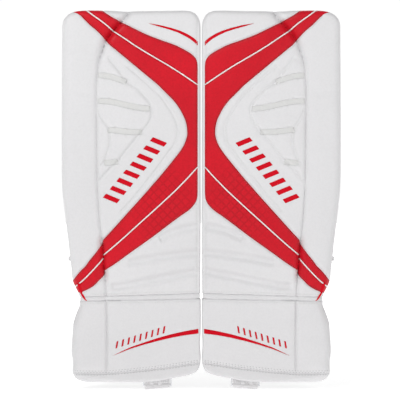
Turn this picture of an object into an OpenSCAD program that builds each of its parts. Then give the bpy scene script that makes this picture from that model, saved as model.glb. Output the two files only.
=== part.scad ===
// Goalie leg pads: a pair of ice hockey goaltender's leg pads.
// Each pad is a foam slab with a raised outer roll, covered in synthetic
// leather, that flexes above the knee and at the ankle. The wearer's leg lies
// in the channel at the back, held by two calf wings and three straps.
// Millimetres, +Z up, the playing faces look along -Y, and the origin lies on
// the ice midway between the two pads.

/* [Pad] */
// Gap between the inner edges of the two pads
pad_gap = 3; // [2:0.5:20]
// Thickness of the synthetic leather covers
skin_t = 2.5; // [1.5:0.5:4]
// How far the outer roll stands proud of the face
roll_bulge = 4; // [0:1:12]
// Depth of the valley between the face and the outer roll
valley_d = 13; // [6:1:18]
// Thickness of the plastic stiffening boards
board_t = 3; // [2:0.5:4]

/* [Flex breaks] */
// Height of the middle of the ankle break
ankle_z = 167; // [160:1:175]
// Width of the ankle break
ankle_slot = 12; // [10:0.5:14]
// Height of the middle of the break above the knee
thigh_z = 578; // [570:1:590]
// Width of the break above the knee
thigh_slot = 8; // [6:0.5:10]

/* [Leg side] */
// Width of the knee and calf blocks on the inner edge
block_w = 46; // [36:1:50]
// Radius of the calf wings about the leg
wing_r = 77; // [74:1:82]
// Thickness of the padded calf wings
wing_t = 10; // [6:1:10]
// Thickness of the straps
strap_t = 3; // [2:0.5:4]
// Width of the calf strap
calf_strap_w = 38; // [25:1:50]
// Width of the knee strap
knee_strap_w = 50; // [30:1:60]
// Width of the boot strap
boot_strap_w = 25; // [20:1:32]

/* [Toe] */
// Width of the toe tab
tab_w = 50; // [40:1:60]
// Radius of the bar the toe tab hangs from
bar_r = 2; // [1.5:0.5:3]
// Hole radius of the toe lace eyelets
eyelet_r = 4; // [3:0.5:5]
// Distance between the two toe lace eyelets
eyelet_pitch = 26; // [20:1:30]

/* [Hidden] */
g = 0.3;
in0 = pad_gap / 2;
ankle_lo = ankle_z - ankle_slot / 2;
ankle_hi = ankle_z + ankle_slot / 2;
thigh_lo = thigh_z - thigh_slot / 2;
thigh_hi = thigh_z + thigh_slot / 2;
leg = [136, 56];
white = [0.90, 0.90, 0.90];
red = [0.78, 0.12, 0.17];
foam = [0.82, 0.80, 0.74];
black = [0.12, 0.12, 0.13];
grey = [0.45, 0.46, 0.48];
steel = [0.72, 0.73, 0.75];

// Outline of a pad: the inner edge, the outer edge and the valley between
// the face and the outer roll, each as a distance from the middle plane at a
// height above the ice.
inner_tab = [[0, 108], [9, 53], [13, 29], [18, 12], [26, 5], [34, 3],
             [60, 2], [175, 1.5], [363, 1], [400, 0], [727, 0], [735, 2],
             [740, 7], [743, 14]];
outer_tab = [[0, 243], [8, 251], [20, 256], [43, 256.5], [55, 259],
             [91, 258], [115, 256], [127, 253], [139, 249], [151, 244],
             [163, 244], [175, 246], [183, 250], [195, 256], [208, 259.5],
             [243, 263], [291, 268], [339, 274], [381, 278], [403, 278.5],
             [718, 278.5], [732, 274], [740, 266], [743, 257]];
valley_tab = [[0, 188], [163, 190], [203, 192], [223, 195], [293, 200],
              [363, 206], [520, 209], [600, 210], [643, 204], [679, 192],
              [717, 166], [743, 146]];
// Front and rear of the foam at each height: the boot curls forward and the
// top leans back.
front_tab = [[0, -84], [28, -76], [60, -68], [100, -59], [135, -53],
             [161, -50.5], [173, -50.5], [230, -55], [300, -60],
             [400, -64], [503, -66], [582, -65], [643, -62], [700, -57],
             [728, -54], [738, -50], [743, -44]];
rear_tab = [[0, -46], [60, -28], [120, -16], [161, -12], [173, -12],
            [300, -15], [400, -18], [503, -20], [582, -19], [643, -17],
            [743, -15]];

function xin(z, i) =
    in0 + i + max(lookup(z - i, inner_tab), lookup(z + i, inner_tab));
function xout(z, i) =
    in0 - 1.5 - i + min(lookup(z - i, outer_tab), lookup(z + i, outer_tab));
function xval(z) = lookup(z, valley_tab);
function yf(z) = lookup(z, front_tab);
function yr(z) = lookup(z, rear_tab);
function mix(a, b, t) = a + (b - a) * t;

// The rounded front of the face, from the inner edge to the valley.
function face_front(z, i) =
    let (a = xin(z, i), c = xval(z), y = yf(z) + i)
    [[a, y + 16, z], [a + 2, y + 8, z], [a + 8, y + 3, z],
     [mix(a, c, 0.14), y + 0.6, z], [mix(a, c, 0.5), y, z],
     [mix(a, c, 0.86), y + 0.6, z], [c - 9, y + 3.5, z],
     [c - 3, y + 8.5, z]];
// The crowned front of the outer roll, from the valley to the outer edge.
function roll_front(z, i) =
    let (c = xval(z), b = xout(z, i), y = yf(z) + i, h = roll_bulge)
    [[c + 3, y + 8, z], [c + 10, y + 2, z], [mix(c, b, 0.32), y - h * 0.7, z],
     [mix(c, b, 0.55), y - h, z], [mix(c, b, 0.78), y - h * 0.3, z],
     [b - 7, y + 4, z], [b - 2, y + 11, z], [b, y + 20, z]];
function all_front(z, i) =
    concat(face_front(z, i), [[xval(z), yf(z) + i + valley_d, z]],
           roll_front(z, i));
function flat(path, y) = [for (p = path) [p[0], y, p[2]]];

// A solid between a front and a rear grid of points, listed level by level.
module loft(F, B) {
    n = len(F[0]);
    m = len(F);
    polyhedron(
        points = concat([for (r = F) for (p = r) p],
                        [for (r = B) for (p = r) p]),
        faces = concat(
            [for (k = [0:m - 2]) for (j = [0:n - 2]) for (s = [0, 1])
                s == 0 ? [k * n + j, (k + 1) * n + j, (k + 1) * n + j + 1]
                       : [k * n + j, (k + 1) * n + j + 1, k * n + j + 1]],
            [for (k = [0:m - 2]) for (j = [0:n - 2]) for (s = [0, 1])
                s == 0 ? [(m + k) * n + j, (m + k + 1) * n + j + 1,
                          (m + k + 1) * n + j]
                       : [(m + k) * n + j, (m + k) * n + j + 1,
                          (m + k + 1) * n + j + 1]],
            [for (k = [0:m - 2]) for (s = [0, 1])
                s == 0 ? [(k + 1) * n, k * n, (m + k) * n]
                       : [(k + 1) * n, (m + k) * n, (m + k + 1) * n]],
            [for (k = [0:m - 2]) for (s = [0, 1])
                s == 0 ? [k * n + n - 1, (k + 1) * n + n - 1,
                          (m + k + 1) * n + n - 1]
                       : [k * n + n - 1, (m + k + 1) * n + n - 1,
                          (m + k) * n + n - 1]],
            [for (j = [0:n - 2])
                [j, j + 1, m * n + j + 1, m * n + j]],
            [for (j = [0:n - 2])
                [(m - 1) * n + j + 1, (m - 1) * n + j,
                 (2 * m - 1) * n + j, (2 * m - 1) * n + j + 1]]));
}

// A whole slab over the levels zs, shrunk by i, with its rear moved by r.
module slab(zs, i, r)
    loft([for (z = zs) all_front(z, i)],
         [for (z = zs) flat(all_front(z, i), yr(z) + r)]);
module face_foam(zs)
    loft([for (z = zs) face_front(z, skin_t + 0.2)],
         [for (z = zs) flat(face_front(z, skin_t + 0.2), yr(z))]);
module roll_foam(zs)
    loft([for (z = zs) roll_front(z, skin_t + 0.2)],
         [for (z = zs) flat(roll_front(z, skin_t + 0.2), yr(z))]);

shin_z = [ankle_hi, 185, 208, 243, 300, 381, 440, 503, thigh_lo];
thigh_zs = [thigh_hi, 612, 643, 679, 717, 732, 738, 743];
boot_z = [0, 9, 18, 30, 60, 91, 120, 139, 151, ankle_lo];

// A flat shape on the pad's face, drawn in X and Z and cut through in Y.
module through(pts)
    translate([0, 100, 0]) rotate([90, 0, 0])
        linear_extrude(height = 300) polygon(pts);

// The red chevron: its tip lies on the inner edge beside the knee.
module chevron() {
    through([[268, 760], [185, 760], [152, 727], [109, 691], [53, 671],
             [7, 641], [7, 363], [38, 331], [94, 283], [148, 233],
             [176, 221], [196, 203], [215, 188], [243, 176], [300, 186],
             [300, 214], [256, 217], [238, 241], [213, 262], [198, 281],
             [172, 305], [132, 345], [88, 392], [56, 432], [36, 470],
             [28, 500], [36, 528], [58, 563], [85, 600], [122, 640],
             [158, 676], [196, 708], [229, 733], [243, 746]]);
}
// The panel that wraps the toe edge.
module toe_edge() {
    through([[-5, -5], [300, -5], [300, 16], [190, 18], [82, 27], [-5, 38]]);
}

module shin_shell()
    difference() {
        slab(shin_z, 0, 0);
        slab([ankle_hi - 2, 185, 208, 243, 300, 381, 440, 503,
              thigh_lo + 2], skin_t, 20);
    }
module thigh_shell()
    difference() {
        slab(thigh_zs, 0, 0);
        slab([thigh_hi - 2, 612, 643, 679, 717, 732, 738, 743 - skin_t],
             skin_t, 20);
    }
module boot_shell()
    difference() {
        slab(boot_z, 0, 0);
        slab([skin_t, 9, 18, 30, 60, 91, 120, 139, 151, ankle_lo + 2],
             skin_t, 20);
    }

// A stiffening board that follows the rear of the foam.
module board(zs, a, b)
    loft([for (z = zs) [[a, yr(z) + g, z], [b, yr(z) + g, z]]],
         [for (z = zs) [[a, yr(z) + g + board_t, z],
                        [b, yr(z) + g + board_t, z]]]);

// A strip of constant thickness that follows a path seen from above.
function side(p, i) =
    let (a = p[max(i - 1, 0)], b = p[min(i + 1, len(p) - 1)],
         d = b - a, l = norm(d))
    [-d[1] / l, d[0] / l];
module ribbon(p, t)
    polygon(concat([for (i = [0:len(p) - 1]) p[i] + side(p, i) * t / 2],
                   [for (i = [len(p) - 1:-1:0]) p[i] - side(p, i) * t / 2]));
function arc(c, r, a0, a1, n) =
    [for (k = [0:n]) let (a = mix(a0, a1, k / n))
        [c[0] + r * cos(a), c[1] + r * sin(a)]];

// Upright prism over a shape seen from above.
module prism(z0, z1) translate([0, 0, z0])
    linear_extrude(height = z1 - z0) children();
// Block with softened edges, seen from above.
module cushion(x0, x1, y0, y1, c)
    polygon([[x0 + c, y0], [x1 - c, y0], [x1, y0 + c], [x1, y1 - c],
             [x1 - c, y1], [x0 + c, y1], [x0, y1 - c], [x0, y0 + c]]);

module shin_core() face_foam(shin_z);
module shin_roll() roll_foam(shin_z);
module shin_cover() difference() { shin_shell(); chevron(); }
module shin_band() intersection() { shin_shell(); chevron(); }
module shin_board() board([182, 300, 400, 503, 566], 12, 240);
module thigh_core() face_foam([for (z = thigh_zs) min(z, 740)]);
module thigh_roll() roll_foam([for (z = thigh_zs) min(z, 740)]);
module thigh_cover() difference() { thigh_shell(); chevron(); }
module thigh_band() intersection() { thigh_shell(); chevron(); }
module thigh_board() board([590, 643, 728], 12, 262);
module boot_core() face_foam([for (z = boot_z) max(z, 2.9)]);
module boot_roll() roll_foam([for (z = boot_z) max(z, 2.9)]);
module boot_cover() difference() { boot_shell(); toe_edge(); }
module toe_binding() intersection() { boot_shell(); toe_edge(); }
module boot_board() board([10, 60, 120, 152], 30, 236);

// Padded cradle the shin lies in, with a raised bolster on its outer side.
module leg_channel()
    prism(186, 562)
        polygon([[in0 + block_w + 8, -8], [206, -8], [207, 6], [205, 20],
                 [199, 24], [192, 20], [184, 5], [160, 1], [112, 1],
                 [80, 5], [72, 9], [in0 + block_w + 8, 6]]);
module knee_block()
    prism(440, 562) cushion(in0 + 3, in0 + 3 + block_w, -8, 30, 4);
module knee_cushion()
    difference() {
        prism(444, 558)
            cushion(in0 + 4, in0 + 2 + block_w, 30 + g, 60, 9);
        translate([-50, 60, 444]) rotate([45, 0, 0])
            cube([200, 14, 14], center = true);
        translate([-50, 60, 558]) rotate([45, 0, 0])
            cube([200, 14, 14], center = true);
    }
module calf_riser()
    prism(200, 432) cushion(in0 + 3, in0 + 3 + block_w, -8, 24, 5);
// Flexible strip that joins the boot to the shin behind the ankle break.
module ankle_gusset()
    translate([30, -7.6, 146]) cube([196, 2, 34]);
module thigh_liner()
    prism(592, 716)
        polygon([[26, -11], [250, -11], [252, 2], [246, 10], [234, 8],
                 [220, -2], [170, -4], [100, -4], [56, -2], [42, 8],
                 [30, 10], [24, 2]]);

// Steel bar below the toe, with a lug at each end.
bar_y = -64;
bar_z = -6;
tab_x = 88;
module toe_anchor()
    union() {
        translate([tab_x - tab_w / 2 - 4, bar_y, bar_z]) rotate([0, 90, 0])
            cylinder(r = bar_r, h = tab_w + 8, $fn = 32);
        translate([tab_x - tab_w / 2 - 4, bar_y - 3, bar_z - 3])
            cube([3, 6, 17]);
        translate([tab_x + tab_w / 2 + 1, bar_y - 3, bar_z - 3])
            cube([3, 6, 10.6]);
    }
// Folded webbing tab: a lip that hangs in front and a strip that runs back
// under the toe with the lace eyelets.
module toe_tab()
    difference() {
        union() {
            translate([tab_x - tab_w / 2, bar_y, bar_z]) rotate([0, 90, 0])
                cylinder(r = bar_r + 2.5, h = tab_w, $fn = 48);
            translate([tab_x - tab_w / 2, bar_y - bar_r - 2.5, bar_z - 10])
                cube([tab_w, 3, 10]);
            translate([tab_x - tab_w / 2, bar_y, bar_z - bar_r - 2.5])
                cube([tab_w, 36, 3]);
        }
        translate([tab_x - tab_w, bar_y, bar_z]) rotate([0, 90, 0])
            cylinder(r = bar_r + g, h = tab_w * 2, $fn = 48);
        for (s = [-1, 1])
            translate([tab_x + s * eyelet_pitch / 2, bar_y + 24, bar_z - 9])
                cylinder(r = eyelet_r + 1.05, h = 12, $fn = 48);
    }
module toe_eyelets()
    for (s = [-1, 1])
        translate([tab_x + s * eyelet_pitch / 2, bar_y + 24,
                   bar_z - bar_r - 4.5])
            difference() {
                union() {
                    cylinder(r = eyelet_r + 1, h = 7, $fn = 48);
                    translate([0, 0, 0.9])
                        cylinder(r = eyelet_r + 3, h = 1, $fn = 48);
                    translate([0, 0, 5.1])
                        cylinder(r = eyelet_r + 3, h = 1, $fn = 48);
                }
                translate([0, 0, -1])
                    cylinder(r = eyelet_r, h = 9, $fn = 48);
            }

// Padded wings that fold round the calf, each on an upright seam.
wing_hinge = [leg[0] + wing_r, 2];
inner_hinge = [leg[0] - wing_r, 34];
module calf_wing_outer()
    prism(216, 426)
        ribbon(concat([wing_hinge, wing_hinge + [0, 24]],
                      arc(leg, wing_r, 0, 70, 7)), wing_t);
module calf_wing_inner()
    prism(226, 416)
        ribbon(concat([inner_hinge], arc(leg, wing_r, 180, 112, 7)),
               wing_t);
// Elastic strap with a hook tab, from the outer wing to the inner one.
strap_r = wing_r + wing_t / 2 + strap_t / 2 + 0.6;
module calf_strap()
    prism(300, 300 + calf_strap_w)
        ribbon(arc(leg, strap_r, 40, 148, 12), strap_t);
// Wide elastic strap from the outer edge, round the knee, to the knee block.
module knee_strap()
    prism(476, 476 + knee_strap_w)
        ribbon(concat([wing_hinge, wing_hinge + [0, 24]],
                      arc(leg, wing_r, 0, 128, 10),
                      [[66, 88], [52, 67], [44, 62.4], [14, 62.4]]),
               strap_t);
// Strap that passes behind the skate's heel.
boot_hinge = [226, -13];
module boot_strap()
    prism(78, 78 + boot_strap_w)
        ribbon(concat([boot_hinge, boot_hinge + [0, 20]],
                      arc([131, 34], 95, 0, 180, 14),
                      [[36, 8], [38, -4], [44, -12], [60, -13.4]]),
               strap_t);

module left_shin_core() color(foam) shin_core();
module left_shin_roll() color(foam) shin_roll();
module left_shin_cover() color(white) shin_cover();
module left_shin_band() color(red) shin_band();
module left_shin_board() color(grey) shin_board();
module left_leg_channel() color(grey) leg_channel();
module left_knee_block() color(white) knee_block();
module left_knee_cushion() color(black) knee_cushion();
module left_calf_riser() color(white) calf_riser();
module left_ankle_gusset() color(black) ankle_gusset();
module left_thigh_core() color(foam) thigh_core();
module left_thigh_roll() color(foam) thigh_roll();
module left_thigh_cover() color(white) thigh_cover();
module left_thigh_band() color(red) thigh_band();
module left_thigh_board() color(grey) thigh_board();
module left_thigh_liner() color(grey) thigh_liner();
module left_boot_core() color(foam) boot_core();
module left_boot_roll() color(foam) boot_roll();
module left_boot_cover() color(white) boot_cover();
module left_boot_board() color(grey) boot_board();
module left_toe_binding() color(white) toe_binding();
module left_toe_anchor() color(steel) toe_anchor();
module left_toe_tab() color(white) toe_tab();
module left_toe_eyelets() color(steel) toe_eyelets();
module left_calf_wing_outer() color(white) calf_wing_outer();
module left_calf_strap() color(black) calf_strap();
module left_calf_wing_inner() color(white) calf_wing_inner();
module left_knee_strap() color(black) knee_strap();
module left_boot_strap() color(black) boot_strap();

module right_shin_core() color(foam) mirror([1, 0, 0]) shin_core();
module right_shin_roll() color(foam) mirror([1, 0, 0]) shin_roll();
module right_shin_cover() color(white) mirror([1, 0, 0]) shin_cover();
module right_shin_band() color(red) mirror([1, 0, 0]) shin_band();
module right_shin_board() color(grey) mirror([1, 0, 0]) shin_board();
module right_leg_channel() color(grey) mirror([1, 0, 0]) leg_channel();
module right_knee_block() color(white) mirror([1, 0, 0]) knee_block();
module right_knee_cushion() color(black) mirror([1, 0, 0]) knee_cushion();
module right_calf_riser() color(white) mirror([1, 0, 0]) calf_riser();
module right_ankle_gusset() color(black) mirror([1, 0, 0]) ankle_gusset();
module right_thigh_core() color(foam) mirror([1, 0, 0]) thigh_core();
module right_thigh_roll() color(foam) mirror([1, 0, 0]) thigh_roll();
module right_thigh_cover() color(white) mirror([1, 0, 0]) thigh_cover();
module right_thigh_band() color(red) mirror([1, 0, 0]) thigh_band();
module right_thigh_board() color(grey) mirror([1, 0, 0]) thigh_board();
module right_thigh_liner() color(grey) mirror([1, 0, 0]) thigh_liner();
module right_boot_core() color(foam) mirror([1, 0, 0]) boot_core();
module right_boot_roll() color(foam) mirror([1, 0, 0]) boot_roll();
module right_boot_cover() color(white) mirror([1, 0, 0]) boot_cover();
module right_boot_board() color(grey) mirror([1, 0, 0]) boot_board();
module right_toe_binding() color(white) mirror([1, 0, 0]) toe_binding();
module right_toe_anchor() color(steel) mirror([1, 0, 0]) toe_anchor();
module right_toe_tab() color(white) mirror([1, 0, 0]) toe_tab();
module right_toe_eyelets() color(steel) mirror([1, 0, 0]) toe_eyelets();
module right_calf_wing_outer() color(white) mirror([1, 0, 0]) calf_wing_outer();
module right_calf_strap() color(black) mirror([1, 0, 0]) calf_strap();
module right_calf_wing_inner() color(white) mirror([1, 0, 0]) calf_wing_inner();
module right_knee_strap() color(black) mirror([1, 0, 0]) knee_strap();
module right_boot_strap() color(black) mirror([1, 0, 0]) boot_strap();

left_shin_core();
left_shin_roll();
left_shin_cover();
left_shin_band();
left_shin_board();
left_leg_channel();
left_knee_block();
left_knee_cushion();
left_calf_riser();
left_ankle_gusset();
left_thigh_core();
left_thigh_roll();
left_thigh_cover();
left_thigh_band();
left_thigh_board();
left_thigh_liner();
left_boot_core();
left_boot_roll();
left_boot_cover();
left_boot_board();
left_toe_binding();
left_toe_anchor();
left_toe_tab();
left_toe_eyelets();
left_calf_wing_outer();
left_calf_strap();
left_calf_wing_inner();
left_knee_strap();
left_boot_strap();
right_shin_core();
right_shin_roll();
right_shin_cover();
right_shin_band();
right_shin_board();
right_leg_channel();
right_knee_block();
right_knee_cushion();
right_calf_riser();
right_ankle_gusset();
right_thigh_core();
right_thigh_roll();
right_thigh_cover();
right_thigh_band();
right_thigh_board();
right_thigh_liner();
right_boot_core();
right_boot_roll();
right_boot_cover();
right_boot_board();
right_toe_binding();
right_toe_anchor();
right_toe_tab();
right_toe_eyelets();
right_calf_wing_outer();
right_calf_strap();
right_calf_wing_inner();
right_knee_strap();
right_boot_strap();
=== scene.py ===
import math

import bmesh
import bpy
import numpy as np
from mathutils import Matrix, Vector, geometry


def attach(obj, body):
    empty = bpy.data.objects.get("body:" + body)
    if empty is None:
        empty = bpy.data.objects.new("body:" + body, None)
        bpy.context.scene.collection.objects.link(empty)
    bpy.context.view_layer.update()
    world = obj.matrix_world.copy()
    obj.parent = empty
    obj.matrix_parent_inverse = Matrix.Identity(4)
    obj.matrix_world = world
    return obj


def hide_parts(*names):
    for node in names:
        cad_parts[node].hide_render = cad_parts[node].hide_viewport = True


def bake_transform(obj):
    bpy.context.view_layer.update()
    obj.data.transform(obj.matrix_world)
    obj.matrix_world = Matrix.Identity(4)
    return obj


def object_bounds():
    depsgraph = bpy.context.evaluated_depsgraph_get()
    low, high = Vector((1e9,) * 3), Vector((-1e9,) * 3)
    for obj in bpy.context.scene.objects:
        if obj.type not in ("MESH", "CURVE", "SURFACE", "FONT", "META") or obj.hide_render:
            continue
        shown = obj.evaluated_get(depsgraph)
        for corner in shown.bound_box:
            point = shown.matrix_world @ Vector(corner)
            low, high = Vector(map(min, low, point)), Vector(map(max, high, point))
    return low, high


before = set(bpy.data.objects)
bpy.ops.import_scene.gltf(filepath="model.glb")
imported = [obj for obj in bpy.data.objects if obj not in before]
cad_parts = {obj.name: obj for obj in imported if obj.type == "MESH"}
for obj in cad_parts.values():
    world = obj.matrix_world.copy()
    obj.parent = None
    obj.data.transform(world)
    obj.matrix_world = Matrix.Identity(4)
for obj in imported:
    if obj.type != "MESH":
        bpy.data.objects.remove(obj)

cad_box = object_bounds()
MM = 0.001


# ---------------------------------------------------------------- camera
cam_data = bpy.data.cameras.new("camera")
cam_data.sensor_width = 36.0
cam_data.lens = 190.0
cam_data.clip_end = 40
camera = bpy.data.objects.new("camera", cam_data)
bpy.context.scene.collection.objects.link(camera)
FACE_Y = -0.062
VIEW_W = 0.800
CAM_D = VIEW_W * cam_data.lens / cam_data.sensor_width
camera.location = (-0.0025, FACE_Y - CAM_D, 0.363)
camera.rotation_euler = (math.radians(90), 0, 0)
bpy.context.scene.camera = camera

# ------------------------------------------------- lines on the pad (mm)
# X is the distance from the plane between the pads, Z the height.
IN_FACE = [(242.5, 733.0), (232.5, 723.0), (222.5, 713.0), (210.5, 703.0), (200.5, 693.0), (191.5, 683.0), (182.9, 673.0), (170.5, 663.0), (158.5, 653.0), (146.5, 643.0), (134.5, 633.0), (122.5, 623.0), (110.5, 613.0), (98.5, 603.0), (86.5, 593.0), (76.5, 583.0), (66.5, 573.0), (56.5, 563.0), (48.5, 553.0), (41.9, 543.0), (36.5, 533.0), (32.1, 523.0), (29.3, 513.0), (28.1, 503.0), (28.1, 493.0), (30.5, 483.0), (34.5, 473.0), (40.5, 463.0), (47.7, 453.0), (55.7, 443.0), (63.7, 433.0), (71.9, 423.0), (80.1, 413.0), (88.5, 403.0), (97.5, 393.0), (106.1, 383.0), (114.9, 373.0), (123.9, 363.0), (132.9, 353.0), (141.9, 343.0), (150.9, 333.0), (159.9, 323.0), (168.9, 313.0), (178.1, 303.0), (187.3, 293.0), (196.9, 283.0)]
IN_ROLL = [(196.9, 277.0), (205.5, 265.0), (214.5, 253.0), (223.5, 242.0), (231.5, 231.0), (240.5, 222.0), (248.5, 213.0), (256.5, 203.0), (264.5, 194.0)]
OUT_TOP = [(210.5, 753.0), (184.5, 733.0), (166.5, 723.0), (147.5, 713.0), (127.5, 703.0), (106.5, 693.0), (80.5, 683.0), (52.5, 673.0), (32.5, 663.0), (16.5, 653.0), (7.1, 645.0)]
OUT_LOW = [(7.1, 362.0), (14.5, 353.0), (24.5, 343.0), (38.5, 333.0), (52.5, 323.0), (65.9, 313.0), (78.9, 303.0), (92.1, 293.0), (105.9, 283.0), (119.9, 273.0), (134.1, 263.0), (148.1, 253.0), (161.5, 243.0), (177.5, 232.0), (193.5, 222.0)]
OUT_ROLL = [(193.5, 215.0), (197.5, 209.0), (205.5, 201.0), (214.5, 192.0), (224.5, 185.4), (234.5, 180.6), (244.5, 177.0), (262.5, 172.0)]
PIPE_UP = [(234.5, 747.0), (216.5, 733.0), (202.5, 723.0), (189.5, 713.0), (176.5, 702.0), (163.5, 693.0), (148.5, 683.0), (134.1, 673.0), (118.1, 663.0), (101.7, 653.0), (84.5, 643.0), (67.5, 633.0), (51.5, 623.0), (36.1, 613.0), (21.3, 603.0), (7.1, 593.4)]
PIPE_LOW = [(7.1, 429.0), (13.5, 422.0), (21.5, 413.0), (30.9, 403.0), (40.7, 393.0), (50.5, 383.0), (61.1, 373.0), (71.9, 363.0), (82.7, 353.0), (93.7, 343.0), (104.7, 333.0), (115.9, 323.0), (126.9, 313.0), (137.9, 303.0), (148.9, 293.0), (160.1, 283.0), (171.5, 273.0), (183.3, 263.0), (196.1, 252.6)]
PIPE_ROLL = [(196.1, 246.0), (204.5, 236.0), (214.5, 225.0), (224.5, 214.4), (235.5, 203.4), (250.5, 191.0), (262.5, 183.0)]
CREASE = [(145.5, 753.0), (146.5, 737.4), (150.9, 730.0), (157.3, 722.2), (166.5, 713.0), (175.7, 702.0), (184.5, 691.0), (191.7, 679.0), (198.5, 659.0), (203.9, 643.0), (207.5, 623.0), (209.3, 603.0), (209.9, 563.0), (209.3, 503.0), (208.5, 423.0), (206.5, 363.0), (203.7, 323.0), (200.5, 293.0), (197.5, 269.0), (195.7, 243.0), (194.5, 223.0), (192.5, 203.0), (191.3, 183.0), (190.5, 163.0)]
SWOOSH = [(106.5, 717.0), (86.5, 710.6), (66.5, 705.0), (48.5, 699.0), (34.5, 692.4), (22.5, 685.4), (13.5, 678.4), (7.1, 671.8), (7.1, 680.6), (15.5, 687.8), (28.5, 695.8), (42.5, 702.0), (60.5, 707.8), (82.5, 713.2)]
BOOT_SWOOSH = [(177.5, 52.0), (142.5, 65.4), (112.5, 74.6), (86.5, 81.4), (58.5, 87.8), (32.5, 92.6), (5.5, 95.8), (5.5, 105.2), (30.5, 101.0), (58.5, 95.0), (86.5, 87.4), (112.5, 79.0), (142.5, 68.6)]
G1 = [(208.5, 612.6), (186.5, 610.6), (166.5, 605.0), (146.5, 597.8)]
G2 = [(208.5, 561.0), (186.5, 560.0), (166.5, 556.6), (142.5, 551.0), (118.5, 546.6), (99.5, 545.0)]
G3 = [(187.5, 503.4), (166.5, 501.4), (142.5, 499.0), (115.5, 498.6)]
G4 = [(195.5, 438.0), (178.5, 437.8), (163.5, 441.0)]
CONTOUR_R = [(184.5, 647.0), (180.5, 641.0), (163.7, 620.2), (146.5, 597.0), (129.3, 587.0), (114.5, 571.0), (102.5, 557.0), (98.5, 541.0), (101.3, 523.0), (111.5, 508.0), (129.3, 487.0), (149.7, 462.0), (163.7, 444.2), (180.5, 427.0), (195.5, 411.0), (204.5, 401.0)]
CONTOUR_L = [(204.5, 543.0), (201.5, 531.0), (195.5, 521.0), (187.9, 511.0), (182.9, 497.0), (181.9, 485.0), (182.9, 471.0), (187.5, 457.0), (192.5, 443.0), (200.5, 431.0)]
OFFSET = [(150.5, 631.0), (122.5, 608.0), (98.5, 586.0), (80.7, 569.0), (62.9, 543.0), (50.5, 521.0), (46.5, 501.0), (52.5, 475.0), (65.5, 457.0), (93.5, 419.0), (113.9, 393.0), (136.5, 365.0), (160.5, 339.0)]
S1 = [(88.5, 282.0), (78.5, 288.0), (62.9, 297.0), (42.5, 304.0), (6.5, 311.0)]
S2 = [(154.5, 238.0), (132.5, 240.4), (102.5, 246.0), (62.5, 252.0), (32.5, 255.8), (4.5, 259.0)]
S3 = [(189.5, 189.4), (158.5, 191.0), (122.5, 197.8), (92.5, 204.0), (62.5, 210.4), (32.5, 215.8), (4.5, 221.0)]
BIND = [(274.5, 21.0), (254.5, 17.8), (232.5, 17.0), (188.5, 17.0), (142.5, 20.6), (82.5, 27.0), (42.5, 32.4), (4.5, 37.8), (-3.5, 39.0)]
BOOT_CREASE = [(190.5, 165.0), (189.9, 143.0), (188.9, 103.0), (188.5, 63.0), (188.5, 18.0)]
BARS = [[(168.6, 356.4), (162.3, 364.0), (190.4, 375.6), (196.7, 368.0)], [(155.2, 372.6), (148.9, 380.1), (177.0, 391.7), (183.2, 384.2)], [(141.8, 388.7), (135.5, 396.2), (163.5, 407.9), (169.8, 400.3)], [(128.3, 404.8), (122.1, 412.4), (150.1, 424.0), (156.4, 416.5)], [(114.9, 421.0), (108.6, 428.5), (136.7, 440.2), (142.9, 432.6)], [(101.5, 437.1), (95.2, 444.7), (123.2, 456.3), (129.5, 448.8)], [(88.0, 453.3), (81.8, 460.8), (109.8, 472.4), (116.1, 464.9)], [(74.6, 469.4), (68.3, 477.0), (96.4, 488.6), (102.7, 481.0)]]
BOOT_BARS = [[(171.4, 66.2), (167.8, 67.3), (165.6, 81.4), (169.2, 80.3)], [(159.7, 69.9), (156.1, 71.0), (153.8, 85.1), (157.4, 84.0)], [(147.9, 73.6), (144.3, 74.7), (142.1, 88.8), (145.7, 87.7)], [(136.2, 77.3), (132.6, 78.4), (130.3, 92.5), (133.9, 91.4)], [(124.4, 81.0), (120.8, 82.1), (118.6, 96.2), (122.2, 95.1)], [(112.7, 84.7), (109.1, 85.8), (106.8, 99.9), (110.4, 98.8)], [(100.9, 88.4), (97.3, 89.5), (95.1, 103.6), (98.7, 102.5)], [(89.2, 92.1), (85.6, 93.2), (83.3, 107.3), (86.9, 106.2)], [(77.4, 95.8), (73.8, 96.9), (71.6, 111.0), (75.2, 109.9)]]
OUTER = [(237, 0), (245.5, 3.2), (251, 7.5), (254.3, 12), (256.5, 19), (256.2, 31), (256.8, 43), (259, 55), (259.3, 67), (258.8, 79), (258, 91), (257.5, 103), (256.5, 115), (253, 127), (248.7, 139), (244.2, 151), (244.2, 163), (246.2, 175), (252.3, 187), (257.6, 199), (259.7, 211), (260.7, 223), (262, 235), (264.6, 259), (267.2, 283), (270.1, 307), (272.8, 331), (275.6, 355), (278, 379), (279, 403), (279, 700)]
TOP = [(278.6, 716), (276, 724.5), (270.5, 732), (262.5, 737.8), (254.5, 740.8), (246.5, 742.4), (230.5, 743.4), (206.5, 743.4), (182.5, 742.8), (158.5, 741.6), (142.5, 741.6), (118.5, 742.2), (86.5, 742.4), (62.5, 742.8), (46.5, 743.3), (30.5, 743.2), (22.5, 742.4), (14.5, 739.2), (9.5, 735), (6, 729.5), (3.2, 722), (1.8, 712)]
INNER = [(1.5, 690), (1.5, 400), (2.5, 300), (2.8, 200), (3, 160), (3.5, 60), (4.5, 33), (6.5, 25.4), (14.5, 17.6), (22.5, 14.6), (38, 11.2), (54.5, 8.4), (75, 4.4), (95, 1.6), (110, 0.6), (126, 0.2), (166, 0.1), (200, 0), (228, 0)]


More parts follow.
